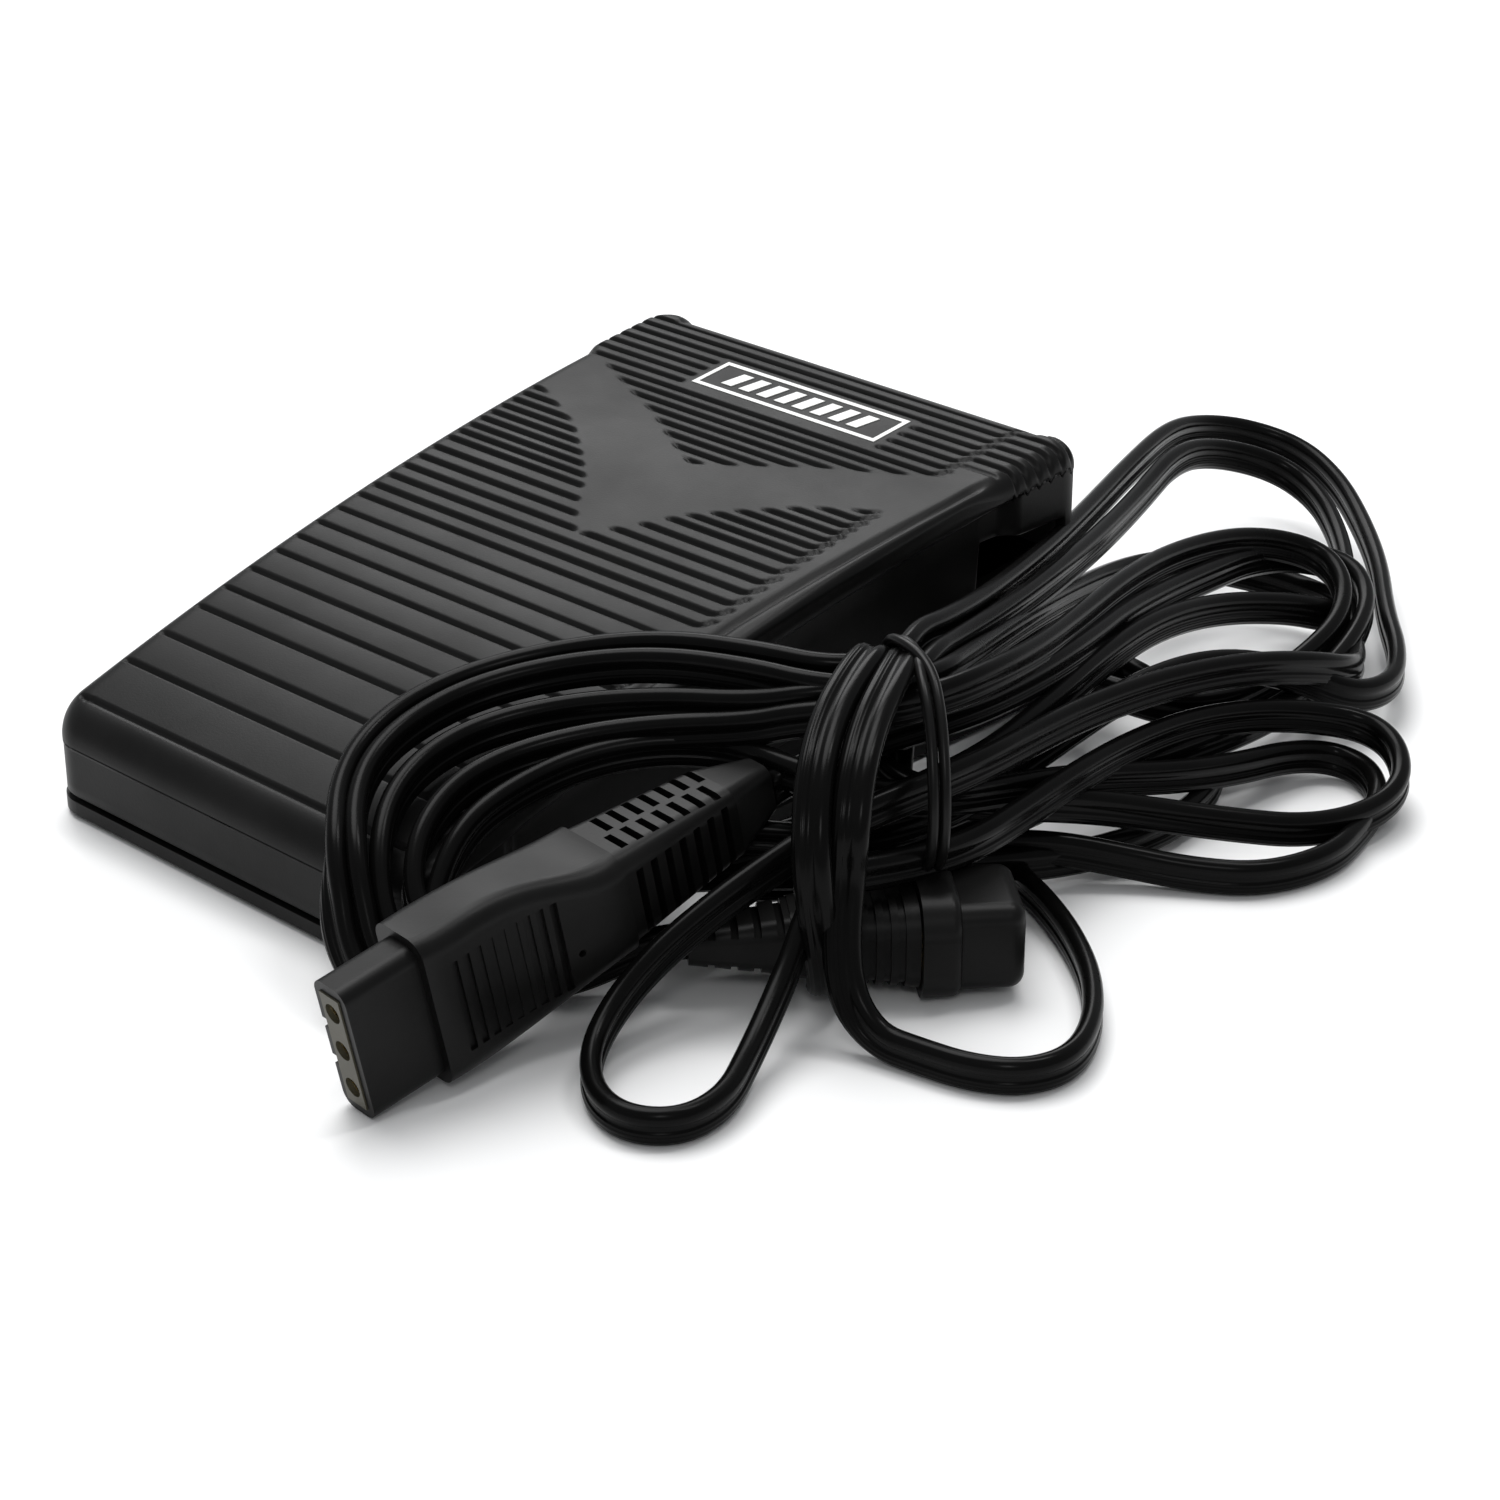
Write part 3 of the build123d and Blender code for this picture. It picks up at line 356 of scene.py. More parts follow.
def build_treadle(material):
    across = edge_places(1.0, 0.075, 0.0135)
    along = edge_places(HALF_LENGTH, 5.2, 0.3)
    rows = len(along)
    columns = len(across)
    t, s = np.meshgrid(along, across, indexing="ij")
    y = t.copy()
    x = s * half_width(y)
    edge_x = half_width(y) - np.abs(x)
    edge_y = HALF_LENGTH - np.abs(y)
    in_corner = (edge_x < CORNER) & (edge_y < CORNER)
    dx = CORNER - edge_x
    dy = CORNER - edge_y
    reach = np.maximum(dx, dy)
    size = np.hypot(dx, dy) + 1e-9
    new_dx = np.where(in_corner, reach * dx / size, dx)
    new_dy = np.where(in_corner, reach * dy / size, dy)
    x = np.where(in_corner, np.sign(x) * (half_width(y) - CORNER + new_dx), x)
    y = np.where(in_corner, np.sign(y) * (HALF_LENGTH - CORNER + new_dy), y)
    depth_in = np.where(in_corner, CORNER - reach, np.minimum(edge_x, edge_y))
    straight = np.where(edge_y < edge_x, 1.0, 0.0)
    share_y = np.where(in_corner, np.clip(dy / (dx + dy + 1e-9), 0, 1), straight)
    near_round = 1.6 + 2.4 * smooth_step(y, 45, 60)
    far_round = 5.2 - 2.4 * smooth_step(y, 54, 58)
    side_round = np.where(x < 0, far_round, near_round)
    end_round = np.where(y > 0, 9.0, 5.0)
    rounding = side_round + (end_round - side_round) * share_y ** 1.5
    inside = np.clip(rounding - depth_in, 0, rounding)
    fall = rounding - np.sqrt(np.clip(rounding**2 - inside**2, 0, None))
    z = crown(y) - fall
    cut_fade = np.where(y > 60, 1.0, 1 - smooth_step(inside, 1.2, 2.0))
    z = z - tread_drop(x, y) * cut_fade - side_channel(x, y)
    top = np.stack([x, y, z], axis=-1).reshape(-1, 3)

    def at(i, j):
        return i * columns + j

    faces = []
    for i in range(rows - 1):
        for j in range(columns - 1):
            faces.append((at(i, j), at(i, j + 1), at(i + 1, j + 1), at(i + 1, j)))
    ring = [at(0, j) for j in range(columns)]
    ring += [at(i, columns - 1) for i in range(1, rows)]
    ring += [at(rows - 1, j) for j in range(columns - 2, -1, -1)]
    ring += [at(i, 0) for i in range(rows - 2, 0, -1)]
    outline = top[ring]
    toward = np.zeros((len(ring), 2))
    for k, (px, py, _) in enumerate(outline):
        cx = max(abs(px) - (half_width(py) - CORNER), 0.0)
        cy = max(abs(py) - (HALF_LENGTH - CORNER), 0.0)
        length = math.hypot(cx, cy) or 1.0
        toward[k] = (math.copysign(cx, px) / length, math.copysign(cy, py) / length)
    side = np.abs(toward[:, 0]) ** 2
    oy = outline[:, 1]
    rebate = side * smooth_step(oy, -62, -57) * (1 - smooth_step(oy, 58, 62))
    lip_low = np.minimum(crown(oy) - 4.9, outline[:, 2] - 0.6)
    knurl = tread_drop(np.full(len(oy), 60.0), oy) * np.abs(toward[:, 0]) * smooth_step(oy, 57, 60)
    low = np.array([skirt_bottom(v) for v in oy])
    notch = smooth_step(oy, *NOTCH_HEEL_EDGE) * (1 - smooth_step(oy, *NOTCH_TOE_EDGE))
    notch = notch * (outline[:, 0] > 0)
    low = low + (NOTCH_TOP - low) * notch * side
    levels = []

    def level(inset, height):
        across_at = outline[:, 0] - toward[:, 0] * inset
        levels.append(np.stack([across_at, oy - toward[:, 1] * inset, height], axis=-1))

    level(0.05 + knurl * 0.6, outline[:, 2] - 0.5)
    level(knurl * 0.8, outline[:, 2] * 0.5 + lip_low * 0.5)
    level(knurl * 0.8, lip_low + 0.5)
    level(0.35 * rebate + knurl * 0.6, lip_low)
    level(0.9 * rebate + 0.1, lip_low - 0.05)
    level(2.4 * rebate + 0.1, lip_low - 0.2)
    level(REBATE_DEPTH * rebate + 0.1, lip_low - 0.6)
    for share in (0.25, 0.5, 0.75):
        level(REBATE_DEPTH * rebate + 0.1, np.maximum((lip_low - 0.6) * (1 - share) + low * share, low + 0.5))
    level(REBATE_DEPTH * rebate + 0.1, low + 0.35)
    level(REBATE_DEPTH * rebate + 0.4, low)
    level(REBATE_DEPTH * rebate + WALL - 0.3, low)
    level(REBATE_DEPTH * rebate + WALL, low + 0.4)
    level(REBATE_DEPTH * rebate + WALL, np.maximum(crown(oy) - 8.0, low + 1.0))
    level(REBATE_DEPTH * rebate + WALL + 1.5, np.maximum(crown(oy) - 3.0, low + 1.5))
    vertices = [top]
    count = len(top)
    previous = ring
    for points in levels:
        vertices.append(points)
        current = list(range(count, count + len(points)))
        count += len(points)
        for k in range(len(ring)):
            n = (k + 1) % len(ring)
            faces.append((previous[k], current[k], current[n], previous[n]))
        previous = current
    faces.append(tuple(previous))
    vertices = np.concatenate(vertices) * MM
    return new_piece("treadle_shell", vertices, faces, "treadle", material)


# ---- leads --------------------------------------------------------------------------------------
# Metres in this section. The lead is two round lobes side by side.
LOBE_RADIUS = 0.00168
LOBE_OFFSET = 0.00142


def route_points(name, points):
    """The smooth line through a route: a quadratic NURBS with the points as its control points."""
    curve = bpy.data.curves.new(name + "_route", "CURVE")
    curve.dimensions = "3D"
    spline = curve.splines.new("NURBS")
    spline.points.add(len(points) - 1)
    for point, place in zip(spline.points, points):
        point.co = (*place, 1.0)
    spline.order_u = 3
    spline.use_endpoint_u = True
    spline.resolution_u = 7
    holder = bpy.data.objects.new(name + "_route", curve)
    bpy.context.scene.collection.objects.link(holder)
    bpy.context.view_layer.update()
    mesh = bpy.data.meshes.new_from_object(holder)
    line = np.array([v.co for v in mesh.vertices])
    bpy.data.objects.remove(holder)
    bpy.data.meshes.remove(mesh)
    return line


def lead_section():
    """The flat twin lead's outline: one smooth lobe and one lobe with fine ribs."""
    outline = []
    count = 22
    for k in range(count + 1):
        angle = math.radians(-128 + 256 * k / count)
        outline.append((LOBE_OFFSET + LOBE_RADIUS * math.cos(angle), LOBE_RADIUS * math.sin(angle)))
    for k in range(41):
        angle = math.radians(52 + 256 * k / 40)
        radius = LOBE_RADIUS * (1.0 - 0.055 * (k % 4 == 0) - 0.03 * (k % 4 in (1, 3)))
        outline.append((-LOBE_OFFSET + radius * math.cos(angle), radius * math.sin(angle)))
    return outline


def section_frames(line, hints):
    """The width direction at each point of a lead, turning slowly towards the way it lies."""
    step = np.gradient(line, axis=0)
    tangent = step / np.linalg.norm(step, axis=1)[:, None]
    wide = []
    last = None
    for t, hint in zip(tangent, hints):
        h = np.array(hint, float)
        if not np.any(h):
            lean = smooth_step(abs(t[2]), 0.55, 0.9)
            h = np.array([0, 0, 1.0]) * (1 - lean) + np.array([0.75, 0.66, 0.1]) * lean
        h = h - t * np.dot(h, t)
        h = h / (np.linalg.norm(h) + 1e-9)
        if last is not None and np.dot(h, last) < 0:
            h = -h
        last = h
        wide.append(h)
    wide = np.array(wide)
    kernel = np.hanning(17)
    kernel /= kernel.sum()
    padded = np.pad(wide, ((8, 8), (0, 0)), mode="edge")
    wide = np.stack([np.convolve(padded[:, a], kernel, mode="valid") for a in range(3)], axis=1)
    wide -= tangent * np.sum(wide * tangent, axis=1)[:, None]
    wide /= np.linalg.norm(wide, axis=1)[:, None]
    return tangent, wide


def build_lead(name, route, spans, material):
    """A flat twin lead swept along a route. spans gives the control points where it lies across."""
    line = route_points(name, route)
    where = np.linspace(0, len(route) - 1, len(line))
    hints = []
    for place in where:
        hint = (0, 0, 0)
        for first, last, direction in spans:
            if first <= place <= last:
                hint = direction
        hints.append(hint)
    tangent, wide = section_frames(line, hints)
    thin = np.cross(tangent, wide)
    section = lead_section()
    rings = [line + wide * a + thin * b for a, b in section]
    grid = np.stack(rings, axis=1)
    count = len(section)
    vertices = grid.reshape(-1, 3)
    faces = []
    for i in range(len(line) - 1):
        for k in range(count):
            n = (k + 1) % count
            faces.append((i * count + k, i * count + n, (i + 1) * count + n, (i + 1) * count + k))
    faces.append(tuple(range(count - 1, -1, -1)))
    faces.append(tuple((len(line) - 1) * count + k for k in range(count)))
    piece = new_piece(name, vertices, faces, "base", material)
    length = float(np.linalg.norm(np.diff(line, axis=0), axis=1).sum())
    return piece, line, length


# Control points of each route, lap by lap.
MACHINE_ROUTE = []
# from the gland, out low and back over the top
MACHINE_ROUTE += [
    (0.0691, 0.0600, 0.0130), (0.0790, 0.0600, 0.0132), (0.0860, 0.0640, 0.0115),
    (0.0895, 0.0730, 0.0100), (0.0900, 0.0860, 0.0095), (0.0895, 0.1000, 0.0105),
    (0.0875, 0.1130, 0.0125), (0.0820, 0.1225, 0.0150), (0.0745, 0.1265, 0.0175),
    (0.0680, 0.1210, 0.0205), (0.0650, 0.1080, 0.0240), (0.0665, 0.0880, 0.0275),
    (0.0725, 0.0660, 0.0310), (0.0800, 0.0440, 0.0335), (0.0870, 0.0240, 0.0365),
    (0.0915, 0.0070, 0.0395), (0.0920, -0.0070, 0.0405), (0.0860, -0.0180, 0.0395),
    (0.0770, -0.0245, 0.0380),
]
# down the inner lap at the pedal's side
MACHINE_ROUTE += [
    (0.0710, -0.0290, 0.0360), (0.0590, -0.0375, 0.0345), (0.0495, -0.0460, 0.0325),
    (0.0425, -0.0560, 0.0300), (0.0405, -0.0655, 0.0275), (0.0425, -0.0745, 0.0235),
    (0.0470, -0.0810, 0.0175), (0.0520, -0.0820, 0.0135), (0.0560, -0.0750, 0.0140),
    (0.0590, -0.0620, 0.0170), (0.0650, -0.0470, 0.0200),
]
# through the tie and out to the right
MACHINE_ROUTE += [
    (0.0740, -0.0355, 0.0205), (0.0840, -0.0270, 0.0195), (0.0910, -0.0150, 0.0195),
    (0.0935, -0.0020, 0.0205), (0.0920, 0.0210, 0.0218), (0.0885, 0.0480, 0.0220),
    (0.0895, 0.0700, 0.0200), (0.0965, 0.0845, 0.0155), (0.1035, 0.0940, 0.0090),
    (0.1040, 0.1070, 0.0070),
]
# round the far end and back over the top
MACHINE_ROUTE += [
    (0.0970, 0.1190, 0.0070), (0.0860, 0.1310, 0.0075), (0.0730, 0.1480, 0.0080),
    (0.0600, 0.1610, 0.0095), (0.0470, 0.1710, 0.0120), (0.0350, 0.1745, 0.0150),
    (0.0250, 0.1690, 0.0180), (0.0210, 0.1580, 0.0210), (0.0240, 0.1430, 0.0245),
    (0.0330, 0.1190, 0.0265), (0.0440, 0.0930, 0.0290), (0.0542, 0.0690, 0.0318),
    (0.0632, 0.0460, 0.0350), (0.0700, 0.0285, 0.0380), (0.0750, 0.0135, 0.0410),
    (0.0770, 0.0050, 0.0428), (0.0805, -0.0030, 0.0428), (0.0800, -0.0110, 0.0428),
    (0.0745, -0.0168, 0.0430),
]
# down the outer lap at the pedal's side
MACHINE_ROUTE += [
    (0.0660, -0.0200, 0.0435), (0.0500, -0.0250, 0.0425), (0.0360, -0.0330, 0.0395),
    (0.0260, -0.0450, 0.0365), (0.0215, -0.0570, 0.0335), (0.0220, -0.0680, 0.0305),
    (0.0270, -0.0775, 0.0275), (0.0340, -0.0845, 0.0245), (0.0390, -0.0895, 0.0190),
    (0.0440, -0.0930, 0.0120), (0.0510, -0.0935, 0.0060), (0.0575, -0.0880, 0.0040),
    (0.0605, -0.0770, 0.0045), (0.0625, -0.0620, 0.0080), (0.0660, -0.0460, 0.0150),
]
# through the tie and round the short arch
MACHINE_ROUTE += [
    (0.0735, -0.0340, 0.0170), (0.0830, -0.0245, 0.0210), (0.0910, -0.0130, 0.0250),
    (0.0935, 0.0030, 0.0265), (0.0895, 0.0250, 0.0270), (0.0835, 0.0470, 0.0265),
    (0.0785, 0.0690, 0.0245), (0.0765, 0.0900, 0.0200), (0.0795, 0.1070, 0.0155),
    (0.0830, 0.1170, 0.0115), (0.0800, 0.1260, 0.0085), (0.0705, 0.1300, 0.0080),
    (0.0600, 0.1265, 0.0095), (0.0525, 0.1170, 0.0130), (0.0500, 0.1060, 0.0155),
    (0.0515, 0.0910, 0.0185), (0.0575, 0.0720, 0.0230), (0.0660, 0.0500, 0.0285),
    (0.0740, 0.0300, 0.0330), (0.0815, 0.0120, 0.0370), (0.0870, -0.0010, 0.0403),
    (0.0865, -0.0120, 0.0410), (0.0775, -0.0205, 0.0418),
]
# the second lap at the pedal's side
MACHINE_ROUTE += [
    (0.0660, -0.0235, 0.0420), (0.0510, -0.0285, 0.0410), (0.0380, -0.0365, 0.0385),
    (0.0285, -0.0480, 0.0355), (0.0250, -0.0590, 0.0325), (0.0260, -0.0690, 0.0298),
    (0.0310, -0.0775, 0.0270), (0.0380, -0.0840, 0.0235), (0.0430, -0.0885, 0.0175),
    (0.0480, -0.0908, 0.0110), (0.0540, -0.0890, 0.0075), (0.0585, -0.0810, 0.0080),
    (0.0610, -0.0680, 0.0110), (0.0640, -0.0520, 0.0155),
]
# through the tie again, near the floor
MACHINE_ROUTE += [
    (0.0735, -0.0340, 0.0130), (0.0825, -0.0245, 0.0125), (0.0890, -0.0130, 0.0120),
    (0.0920, 0.0050, 0.0120), (0.0945, 0.0270, 0.0130), (0.0975, 0.0480, 0.0120),
    (0.0985, 0.0670, 0.0105), (0.0965, 0.0840, 0.0085), (0.0945, 0.1000, 0.0090),
    (0.0905, 0.1150, 0.0105),
]
# the middle lap, back over the top
MACHINE_ROUTE += [
    (0.0845, 0.1270, 0.0120), (0.0760, 0.1330, 0.0140), (0.0680, 0.1280, 0.0160),
    (0.0660, 0.1140, 0.0190), (0.0685, 0.0980, 0.0215), (0.0720, 0.0800, 0.0245),
    (0.0765, 0.0620, 0.0275), (0.0820, 0.0460, 0.0298), (0.0870, 0.0280, 0.0320),
    (0.0895, 0.0100, 0.0335),
]
# down to the machine plug
MACHINE_ROUTE += [
    (0.0885, -0.0010, 0.0338), (0.0840, -0.0110, 0.0326), (0.0796, -0.0205, 0.0307),
    (0.0771, -0.0310, 0.0280),
]
MAINS_ROUTE = []
# from the gland, low through the tie
MAINS_ROUTE += [
    (0.0694, 0.0694, 0.0130), (0.0800, 0.0694, 0.0120), (0.0880, 0.0692, 0.0075),
    (0.0960, 0.0650, 0.0055), (0.1030, 0.0530, 0.0045), (0.1045, 0.0360, 0.0040),
    (0.1000, 0.0180, 0.0045), (0.0930, 0.0030, 0.0065), (0.0850, -0.0110, 0.0082),
    (0.0780, -0.0230, 0.0085), (0.0720, -0.0330, 0.0095),
]
# second lap at the pedal's side
MAINS_ROUTE += [
    (0.0660, -0.0440, 0.0180), (0.0615, -0.0570, 0.0155), (0.0580, -0.0700, 0.0120),
    (0.0555, -0.0820, 0.0095), (0.0505, -0.0870, 0.0105), (0.0445, -0.0855, 0.0160),
    (0.0390, -0.0800, 0.0225), (0.0340, -0.0725, 0.0265), (0.0318, -0.0630, 0.0293),
    (0.0345, -0.0525, 0.0320), (0.0435, -0.0420, 0.0348), (0.0560, -0.0335, 0.0370),
    (0.0700, -0.0270, 0.0385),
]
# over the top and round the far end
MAINS_ROUTE += [
    (0.0780, -0.0205, 0.0405), (0.0840, -0.0140, 0.0405), (0.0850, -0.0050, 0.0405),
    (0.0815, 0.0040, 0.0405), (0.0785, 0.0120, 0.0388), (0.0720, 0.0330, 0.0355),
    (0.0635, 0.0570, 0.0320), (0.0535, 0.0830, 0.0284), (0.0425, 0.1095, 0.0255),
    (0.0330, 0.1340, 0.0250), (0.0315, 0.1500, 0.0210), (0.0380, 0.1610, 0.0165),
    (0.0480, 0.1620, 0.0125), (0.0610, 0.1520, 0.0095), (0.0740, 0.1360, 0.0080),
    (0.0860, 0.1195, 0.0075), (0.0955, 0.1080, 0.0085), (0.1005, 0.0970, 0.0125),
    (0.1000, 0.0845, 0.0175), (0.0970, 0.0690, 0.0215), (0.0948, 0.0500, 0.0245),
    (0.0943, 0.0300, 0.0265), (0.0960, 0.0120, 0.0280), (0.0983, -0.0020, 0.0295),
    (0.0978, -0.0150, 0.0298),
]
# the hanging loop in front
MAINS_ROUTE += [
    (0.0950, -0.0285, 0.0290), (0.0915, -0.0370, 0.0260), (0.0883, -0.0455, 0.0220),
    (0.0858, -0.0545, 0.0180), (0.0840, -0.0640, 0.0135), (0.0838, -0.0730, 0.0085),
    (0.0870, -0.0815, 0.0048), (0.0940, -0.0875, 0.0032), (0.1025, -0.0892, 0.0032),
    (0.1090, -0.0842, 0.0032), (0.1093, -0.0750, 0.0034), (0.1050, -0.0655, 0.0050),
    (0.1015, -0.0570, 0.0080), (0.0990, -0.0500, 0.0120), (0.0970, -0.0440, 0.0175),
    (0.0960, -0.0370, 0.0215),
]
# up and round the short lap on the right
MAINS_ROUTE += [
    (0.1005, -0.0260, 0.0205), (0.1030, -0.0120, 0.0195), (0.1015, 0.0040, 0.0195),
    (0.0995, 0.0200, 0.0193), (0.0975, 0.0360, 0.0180), (0.0970, 0.0540, 0.0160),
    (0.1000, 0.0690, 0.0135), (0.1060, 0.0795, 0.0115), (0.1135, 0.0855, 0.0098),
    (0.1210, 0.0835, 0.0080), (0.1275, 0.0750, 0.0060), (0.1280, 0.0637, 0.0050),
    (0.1240, 0.0515, 0.0058), (0.1162, 0.0420, 0.0078), (0.1075, 0.0330, 0.0100),
    (0.1015, 0.0235, 0.0130), (0.0965, 0.0120, 0.0162), (0.0930, 0.0020, 0.0186),
]
# two turns round the waist
MAINS_ROUTE += [
    (0.0855, -0.0055, 0.0210), (0.0780, -0.0080, 0.0245), (0.0752, -0.0064, 0.0310),
    (0.0775, -0.0060, 0.0400), (0.0812, -0.0105, 0.0473), (0.0844, -0.0192, 0.0470),
    (0.0894, -0.0305, 0.0450), (0.0947, -0.0397, 0.0410), (0.0995, -0.0460, 0.0330),
    (0.1014, -0.0472, 0.0240), (0.1014, -0.0450, 0.0140), (0.0998, -0.0420, 0.0060),
    (0.0955, -0.0380, 0.0019), (0.0870, -0.0260, 0.0018), (0.0800, -0.0140, 0.0022),
    (0.0775, -0.0055, 0.0060), (0.0780, -0.0020, 0.0160), (0.0786, -0.0020, 0.0280),
    (0.0810, -0.0035, 0.0400), (0.0855, -0.0078, 0.0468), (0.0899, -0.0166, 0.0468),
    (0.0951, -0.0276, 0.0448), (0.1002, -0.0366, 0.0405), (0.1035, -0.0415, 0.0330),
]
# the loop that lies on the floor
MAINS_ROUTE += [
    (0.1025, -0.0410, 0.0260), (0.1050, -0.0450, 0.0175), (0.1080, -0.0470, 0.0090),
    (0.1140, -0.0465, 0.0036), (0.1215, -0.0450, 0.0032), (0.1300, -0.0434, 0.0032),
    (0.1370, -0.0390, 0.0032), (0.1396, -0.0310, 0.0032), (0.1358, -0.0210, 0.0032),
    (0.1275, -0.0105, 0.0032), (0.1173, -0.0020, 0.0032), (0.1065, 0.0045, 0.0034),
]
# a small turn behind the waist
MAINS_ROUTE += [
    (0.0970, 0.0085, 0.0034), (0.0885, 0.0140, 0.0034), (0.0805, 0.0205, 0.0036),
    (0.0710, 0.0215, 0.0040), (0.0645, 0.0150, 0.0044), (0.0650, 0.0060, 0.0050),
    (0.0720, 0.0000, 0.0060), (0.0815, -0.0010, 0.0075), (0.0900, 0.0050, 0.0085),
]
# the lowest lap
MAINS_ROUTE += [
    (0.0985, 0.0155, 0.0075), (0.1070, 0.0235, 0.0050), (0.1160, 0.0295, 0.0034),
    (0.1260, 0.0365, 0.0032), (0.1305, 0.0495, 0.0032), (0.1280, 0.0620, 0.0032),
    (0.1240, 0.0740, 0.0032), (0.1165, 0.0815, 0.0033), (0.1085, 0.0810, 0.0040),
    (0.1050, 0.0720, 0.0060), (0.1040, 0.0590, 0.0080), (0.1015, 0.0440, 0.0110),
    (0.0975, 0.0270, 0.0155), (0.0955, 0.0080, 0.0200), (0.0950, -0.0100, 0.0245),
    (0.0895, -0.0240, 0.0285), (0.0800, -0.0290, 0.0310),
]
# the last lap and the wall plug's end
MAINS_ROUTE += [
    (0.0690, -0.0290, 0.0310), (0.0600, -0.0370, 0.0320), (0.0520, -0.0470, 0.0305),
    (0.0470, -0.0580, 0.0270), (0.0465, -0.0690, 0.0240), (0.0495, -0.0790, 0.0160),
    (0.0545, -0.0860, 0.0080), (0.0583, -0.0800, 0.0036), (0.0625, -0.0715, 0.0032),
    (0.0680, -0.0636, 0.0044), (0.0742, -0.0558, 0.0092), (0.0782, -0.0512, 0.0092),
]
# Where a lead lies flat against the bundle: first and last control point, and its width's way.
MACHINE_SPANS = []
MAINS_SPANS = [(85, 107, (0.876, 0.48, 0.0))]


TIE_RADIUS = 0.00092


def build_tie(material):
    """A twist tie: two thin wires side by side round the bundle, crossing once on top."""
    ring = [(0.0925, -0.0115, 0.0478), (0.0860, -0.0074, 0.0480), (0.0800, -0.0052, 0.0472)]
    ring += [(0.0775, -0.0042, 0.0400), (0.0772, -0.0035, 0.0260), (0.0790, -0.0045, 0.0080)]
    ring += [(0.0860, -0.0090, 0.0042), (0.0930, -0.0150, 0.0090), (0.0985, -0.0185, 0.0175)]
    ring += [(0.1035, -0.0212, 0.0195), (0.1050, -0.0219, 0.0270), (0.1035, -0.0205, 0.0350)]
    ring += [(0.0988, -0.0162, 0.0430)]
    across = Vector((0.478, 0.878, 0.0))
    lift = Vector((0.0, 0.0, 1.0))
    parts = []
    for side in (-1, 1):
        curve = bpy.data.curves.new("tie_wire", "CURVE")
        curve.dimensions = "3D"
        curve.bevel_depth = TIE_RADIUS
        curve.bevel_resolution = 3
        spline = curve.splines.new("NURBS")
        spline.points.add(len(ring) - 1)
        for index, (point, place) in enumerate(zip(spline.points, ring)):
            sway = -1.0 if index in (1, 2) else 1.0
            over = 1.0 if index == 1 else 0.0
            spot = Vector(place) + across * (0.0010 * side * sway) + lift * (0.0008 * side * over)
            point.co = (*spot, 1.0)
        spline.order_u = 3
        spline.use_cyclic_u = True
        spline.resolution_u = 8
        holder = bpy.data.objects.new("tie_wire", curve)
        bpy.context.scene.collection.objects.link(holder)
        bpy.context.view_layer.update()
        parts.append(bpy.data.meshes.new_from_object(holder))
        bpy.data.objects.remove(holder)
    work = bmesh.new()
    for part in parts:
        work.from_mesh(part)
    mesh = bpy.data.meshes.new("tie_wires")
    work.to_mesh(mesh)
    work.free()
    mesh.shade_smooth()
    tie = bpy.data.objects.new("tie_wires", mesh)
    bpy.context.scene.collection.objects.link(tie)
    mesh.materials.append(material)
    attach(tie, "base")
    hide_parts("hank_tie")


# ---- build --------------------------------------------------------------------------------------
shell_black = moulded_black("shell_black", 0.0042, 0.007, 0.40, 2600.0, 0.00003, 0.13)
lead_black = moulded_black("lead_black", 0.0022, 0.0034, 0.22, 1200.0, 0.00001, 0.075)
plug_black = moulded_black("plug_black", 0.0035, 0.006, 0.38, 1800.0, 0.00002, 0.14)
make_camera()
make_surroundings()

treadle_shell = build_treadle(shell_black)
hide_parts("treadle")

machine_lead, machine_line, machine_length = build_lead(
    "machine_lead", MACHINE_ROUTE, MACHINE_SPANS, lead_black
)
mains_lead, mains_line, mains_length = build_lead(
    "mains_lead", MAINS_ROUTE, MAINS_SPANS, lead_black
)
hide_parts("machine_lead_start", "machine_plug_lead", "cord_hank")
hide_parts("mains_lead_start", "lower_left_loop", "lower_right_loop", "wall_plug_lead")
build_tie(moulded_black("tie_wire_black", 0.003, 0.005, 0.3, 1500.0, 0.00001, 0.16))

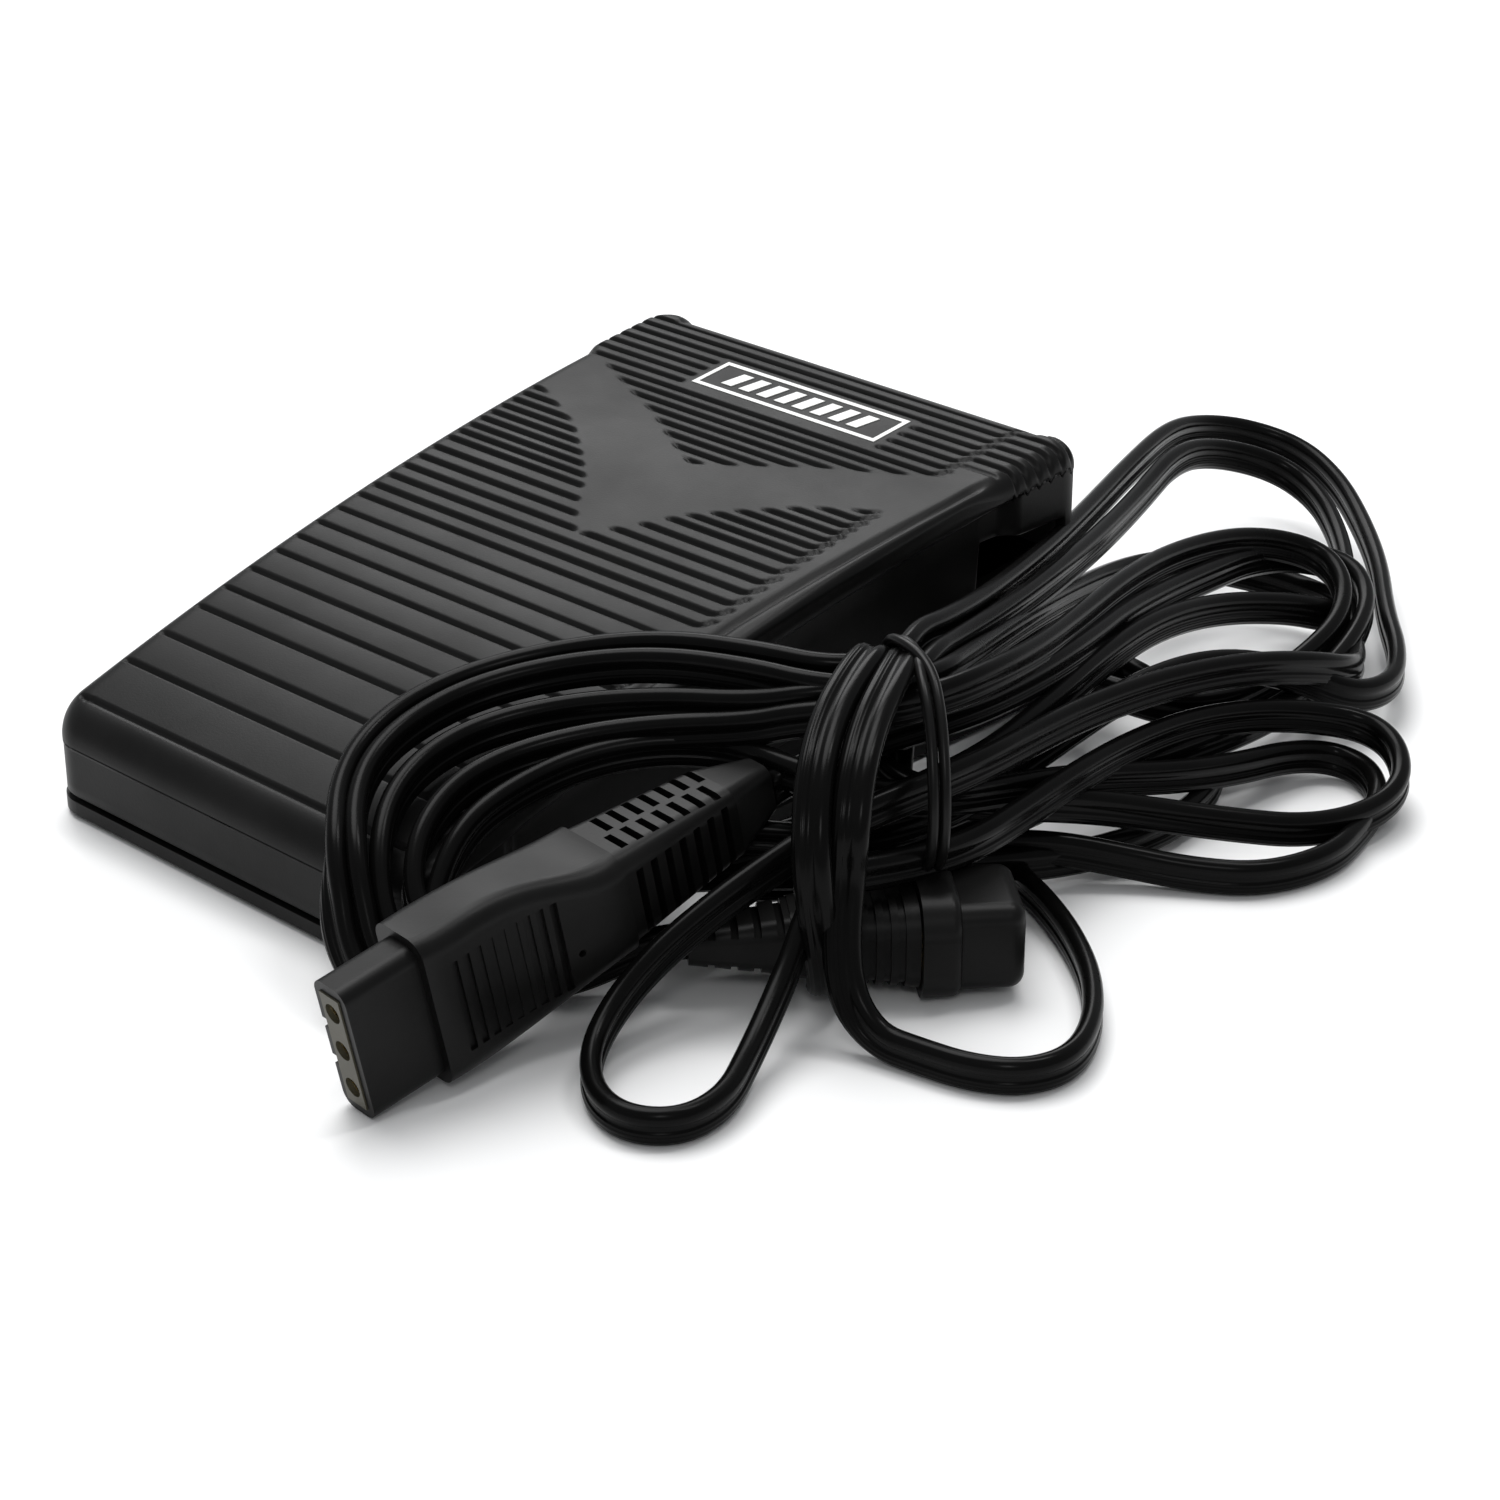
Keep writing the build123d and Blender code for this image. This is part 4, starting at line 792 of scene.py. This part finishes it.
FINISHES = {
    "shell": shell_black,
    "label_white": plain_plastic("label_white", (0.8, 0.8, 0.78), 0.35),
    "zinc_screw": plain_metal("zinc_screw", (0.6, 0.6, 0.58), 0.3),
    "pin_steel": plain_metal("pin_steel", (0.55, 0.55, 0.55), 0.25),
    "spring_steel": plain_metal("spring_steel", (0.45, 0.45, 0.45), 0.3),
    "board": plain_plastic("board", (0.12, 0.25, 0.1), 0.35),
    "part_case": plain_plastic("part_case", (0.03, 0.03, 0.03), 0.4),
    "plunger_white": plain_plastic("plunger_white", (0.8, 0.8, 0.76), 0.35),
    "sink": plain_metal("sink", (0.7, 0.71, 0.72), 0.35, (1, 1, 8)),
    "choke_core": plain_plastic("choke_core", (0.6, 0.55, 0.2), 0.5),
    "copper": plain_metal("copper", (0.72, 0.35, 0.16), 0.25),
    "capacitor": plain_plastic("capacitor", (0.5, 0.1, 0.06), 0.25, coat=0.5),
    "suppressor": plain_plastic("suppressor", (0.75, 0.6, 0.12), 0.3),
    "resistor": plain_plastic("resistor", (0.75, 0.7, 0.6), 0.7),
    "trimmer": plain_plastic("trimmer", (0.05, 0.15, 0.5), 0.3),
    "terminal": plain_plastic("terminal", (0.1, 0.35, 0.15), 0.4),
    "foot_rubber": plain_plastic("foot_rubber", (0.03, 0.03, 0.03), 0.75, 700.0, 0.00005),
    "lead_plastic": lead_black,
    "core_plastic": plain_plastic("core_plastic", (0.3, 0.08, 0.05), 0.35),
    "plug_plastic": plug_black,
    "plug_insert": plain_plastic("plug_insert", (0.06, 0.055, 0.035), 0.5),
    "brass": plain_metal("brass", (0.75, 0.6, 0.3), 0.25),
    "cover_plastic": moulded_black("cover_black", 0.003, 0.005, 0.33, 1500.0, 0.00002, 0.14),
    "tie_plastic": moulded_black("tie_black", 0.003, 0.005, 0.3, 1500.0, 0.00001, 0.16),
}
slots = {row["node"]: row["material_slot"] for row in frame["record"]["subparts"]}
for name, piece in nodes.items():
    if piece.hide_render:
        continue
    piece.data.materials.clear()
    piece.data.materials.append(FINISHES[slots[name]])

# name: joint, anchor and share of the length left when the treadle is fully down
SPRINGS = {
    "left_return_spring": ("treadle_hinge", (-0.022, 0.045, 0.005), 0.61),
    "right_return_spring": ("treadle_hinge", (0.022, 0.045, 0.005), 0.61),
    "plunger_spring": ("plunger_slide", (0.0, 0.0, 0.019), 0.39),
}
for name, (joint, anchor, keep) in SPRINGS.items():
    coil = bpy.data.objects.new(name + "_coil", nodes[name].data.copy())
    coil.matrix_world = nodes[name].matrix_world
    bpy.context.scene.collection.objects.link(coil)
    coil.data.materials.clear()
    coil.data.materials.append(FINISHES["spring_steel"])
    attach(coil, "base")
    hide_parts(name)
    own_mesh(coil)
